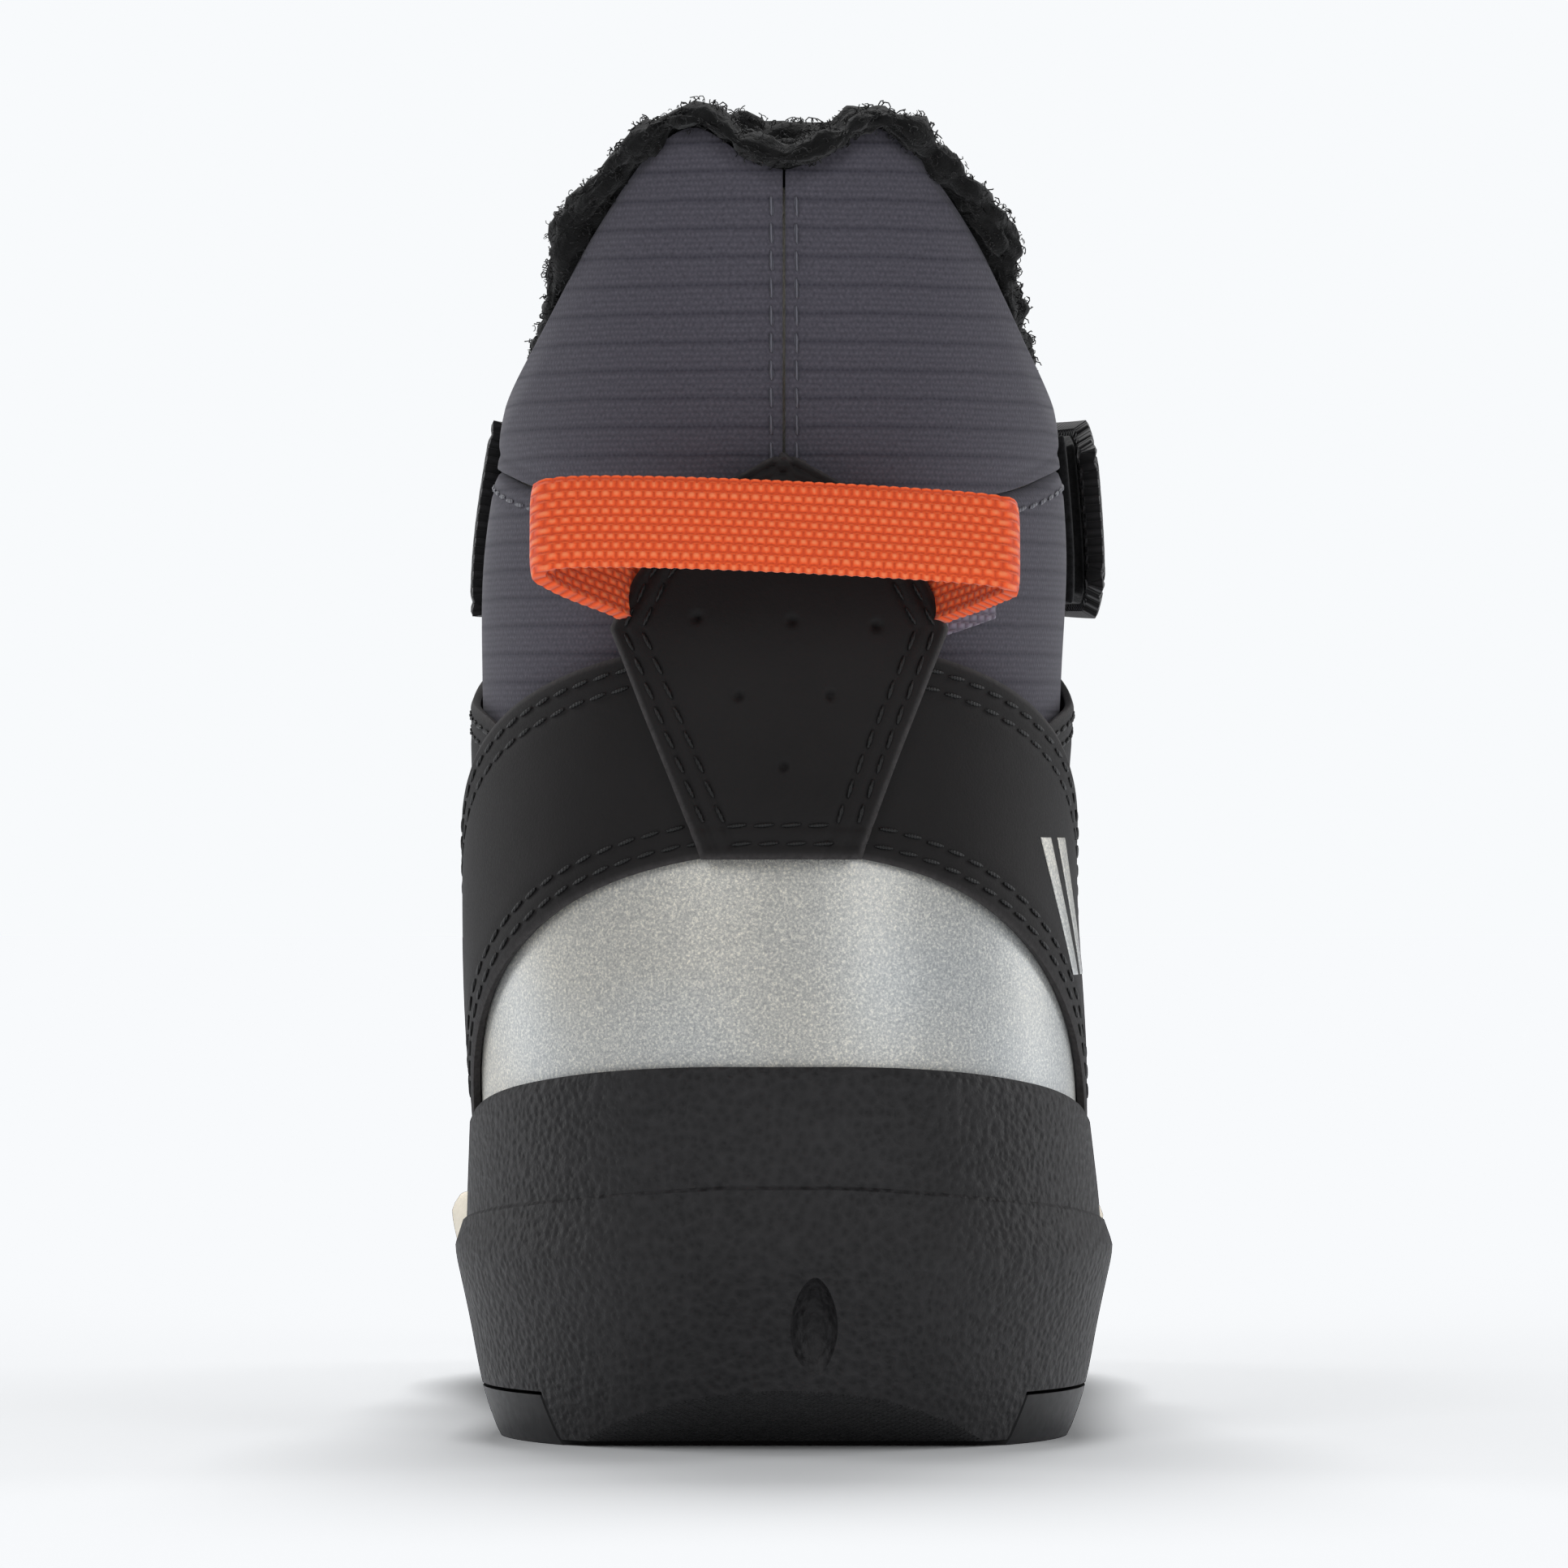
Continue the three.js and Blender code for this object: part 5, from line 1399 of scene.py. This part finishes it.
midsole = carve(shell.copy(), ("INTERSECT", side_block([
    (JOINT_LOW + GAP, FORE_TREAD_TOP + GAP), (JOINT_HIGH + GAP, JOINT_TOP), (JOINT_HIGH + GAP, FAR),
    (FAR, FAR), (FAR, FORE_TREAD_TOP + GAP)])))


def tread_cuts():
    cuts = []
    for y in np.arange(STRIKE_FRONT + 13, TOE_FRONT - 12, LUG_PITCH):
        for side in (-1, 1):
            deep = 2.6 + float(spring_at(y + 10))
            middle = (side * (7 + 30 * math.cos(LUG_SLANT)), y + 30 * math.sin(LUG_SLANT), 0)
            cuts.append(("DIFFERENCE", bar(60, SLOT_WIDTH, 2 * deep, middle, side * LUG_SLANT)))
    return cuts


tread = carve(shell, ("INTERSECT", side_block([
    (STRIKE_FRONT, -FAR), (STRIKE_FRONT, TREAD_THICK), (JOINT_LOW - 6, TREAD_THICK),
    (JOINT_LOW, FORE_TREAD_TOP), (FAR, FORE_TREAD_TOP), (FAR, -FAR)])), *tread_cuts())


def sole_piece(name, bm, finish, node, slot_name):
    bmesh.ops.scale(bm, vec=(MM, MM, MM), verts=bm.verts)
    bmesh.ops.remove_doubles(bm, verts=bm.verts, dist=0.00001)
    piece = link_piece(name, bm, finish, "boot", [node], slot_name, sharp=28)
    print(name, len(piece.data.vertices), "vertices")
    return piece


KNURL_MM, KNURL_FRONT = 0.95, -22.5


def knurled(material):
    """Adds the diamond knurl to the side wall's rubber, below the bevel's plane at the back of the heel."""
    tree = material.node_tree
    shader = tree.nodes["Principled BSDF"]
    spot = add(material, "SeparateXYZ", inputs={"Vector": add(material, "TexCoord").outputs["Object"]})
    x, y, z = (spot.outputs[axis] for axis in "XYZ")
    left = sine_rows(material, math_node(material, "ADD", x, y), KNURL_MM)
    right = sine_rows(material, math_node(material, "SUBTRACT", x, y), KNURL_MM)
    left, right = (math_node(material, "POWER", rows, 3.0) for rows in (left, right))
    ridges = math_node(material, "MAXIMUM", left, right)
    plane = math_node(material, "MULTIPLY_ADD", y, -slope, (STRIKE_EDGE + 0.15 + slope * heel_end) * MM)
    below = math_node(material, "GREATER_THAN", plane, z)
    behind = math_node(material, "LESS_THAN", y, KNURL_FRONT * MM)
    relief = math_node(material, "MULTIPLY", ridges, math_node(material, "MULTIPLY", below, behind))
    under = shader.inputs["Normal"].links[0].from_socket
    bump(material, shader, relief, 0.35, 0.9, under)
    return material


sole_piece("heel_cup_moulding", cup, knurled(SOLE_RUBBER), "heel_cup", "black_rubber")
sole_piece("forefoot_foam", midsole, FOAM_RUBBER, "forefoot_midsole", "cream_foam")
sole_piece("tread_moulding", tread, TREAD_RUBBER, "outsole_tread", "tread_rubber")

# %% [markdown]
# Inside the boot, a felt footbed lies on the lining's sock. It is a thick soft sheet with a raised rim at
# the heel, so it is a grid over the outline whose face dishes. The pieces that never show keep their CAD
# shapes and get the finish of what they are made of; the collar's foam is rebuilt with a crown, as stuffed
# edges have.

# %% Footbed, collar foam and hidden pieces
def footbed():
    bottom = SOCK_BOTTOM + SOCK_THICK + SOFT_GAP
    share = np.linspace(-1, 1, 161)
    steps = [0.0, 0.25, 0.5, 0.7, 0.85, 0.95, 1.0, 1.0]
    edge = layer(share * girth_to_front(20), 20.0, -11.5, level=True)
    rows = []
    for k, inward in enumerate(steps):
        ring = edge.copy()
        ring[:, 0] *= inward
        dish = 0.9 * inward ** 3 * (1 - smoothstep(0, 60, ring[:, 1]))
        ring[:, 2] = bottom + (3.0 + dish if k < 7 else 0.0)
        rows.append(ring)
    bm = skin(np.stack(rows), MM)
    piece = link_piece("footbed_felt", bm, FELT, "boot", ["felt_footbed"], "felt", sharp=60)


def foam_shape(u, v):
    girth = mix(-90, 90, u)
    return girth, mix(90, collar_rim(np.abs(girth)) - 2, v)


footbed()
foam, _ = panel("collar_padding", 120, 40, foam_shape,
                lambda p: PADDING_OUT - 0.5 + crown(p["low"], p["high"], 10, 0.5), PADDING - 0.5, CUSHION_FOAM,
                stands_for=["collar_foam"], slot_name="foam", rim=0.5, rim_width=2)
for node, finish in (("steel_shank", STEEL), ("insole_board", FIBRE_BOARD), ("heel_counter", STIFFENER),
                     ("toe_puff", STIFFENER)):
    frame["nodes"][node].data.materials.clear()
    frame["nodes"][node].data.materials.append(finish)
print("hidden pieces finished")

# %% [markdown]
# The boot stands on a pale floor in a white room. Product light is large and soft: a key and a weaker fill
# behind the camera, one panel overhead, one at each side for the edges, and a bright even background. The
# camera looks level at the heel through a long lens, from more than a metre away, so the shape is hardly
# foreshortened.

# %% Floor, light and camera
def studio():
    bm = bmesh.new()
    bmesh.ops.create_grid(bm, x_segments=2, y_segments=2, size=4.0)
    floor_finish, shader = blank_finish("matt_paper_white", 0.85)
    paper = ramp(floor_finish, grain(floor_finish, 60.0, 2.0), (0.3, "#F4F6F9"), (0.7, "#F8FAFC"))
    link(floor_finish, paper, shader.inputs["Base Color"])
    data = bpy.data.meshes.new("studio_floor")
    bm.to_mesh(data)
    bm.free()
    data.materials.append(floor_finish)
    floor = bpy.data.objects.new("studio_floor", data)
    floor.is_shadow_catcher = True  # only the boot's shadow shows, so the floor has no horizon
    bpy.context.scene.collection.objects.link(floor)


def soft_light(name, place, aim, size, power):
    lamp = bpy.data.lights.new(name, "AREA")
    lamp.shape = "RECTANGLE"
    lamp.size, lamp.size_y = size
    lamp.energy = power
    holder = bpy.data.objects.new(name, lamp)
    holder.location = place
    holder.rotation_euler = (Vector(aim) - Vector(place)).to_track_quat("-Z", "Y").to_euler()
    bpy.context.scene.collection.objects.link(holder)


studio()
# Each light: its place, the point that it faces, its width and height, all in metres, and its watts.
soft_light("key", (-0.55, -1.0, 0.75), (0, 0, 0.08), (0.5, 0.6), 3.6)
soft_light("fill", (0.75, -0.9, 0.45), (0, 0, 0.07), (0.5, 0.7), 2.4)
soft_light("top", (0, 0.5, 0.95), (0, -0.02, 0.06), (0.45, 0.45), 9.0)
for name, x in (("rim_left", -0.9), ("rim_right", 0.9)):
    soft_light(name, (x, 0.5, 0.4), (0, 0, 0.08), (0.3, 0.9), 2.5)
room = bpy.data.worlds.new("white_room")
room.use_nodes = True
seen = room.node_tree.nodes["Background"]
seen.inputs["Color"].default_value = colour("#F8FAFC")
# The eye sees the bright wall, but the light that it sheds on the boot is less than the lamps'.
shed = add(room, "Background", inputs={"Color": colour("#F4F6FA"), "Strength": 0.34})
seen_or_shed = add(room, "MixShader", inputs={"Fac": add(room, "LightPath").outputs["Is Camera Ray"]})
room.node_tree.links.new(shed.outputs[0], seen_or_shed.inputs[1])
room.node_tree.links.new(seen.outputs[0], seen_or_shed.inputs[2])
room.node_tree.links.new(seen_or_shed.outputs[0], room.node_tree.nodes["World Output"].inputs["Surface"])
bpy.context.scene.world = room
bpy.context.scene.view_settings.view_transform = "Standard"

VIEW_HEIGHT, VIEW_DISTANCE, VIEW_WIDTH = 0.073, 1.2, 0.171  # metres
SENSOR = 36
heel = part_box("heel_reflector")[0][1]
lens = bpy.data.cameras.new("camera")
lens.sensor_width = SENSOR
lens.lens = SENSOR * VIEW_DISTANCE / VIEW_WIDTH
camera = bpy.data.objects.new("camera", lens)
camera.location = (0, heel - VIEW_DISTANCE, VIEW_HEIGHT)
camera.rotation_euler = (math.pi / 2, 0, 0)
bpy.context.scene.collection.objects.link(camera)
bpy.context.scene.camera = camera
print("camera:", round(lens.lens), "mm lens,", VIEW_DISTANCE, "m behind the heel")
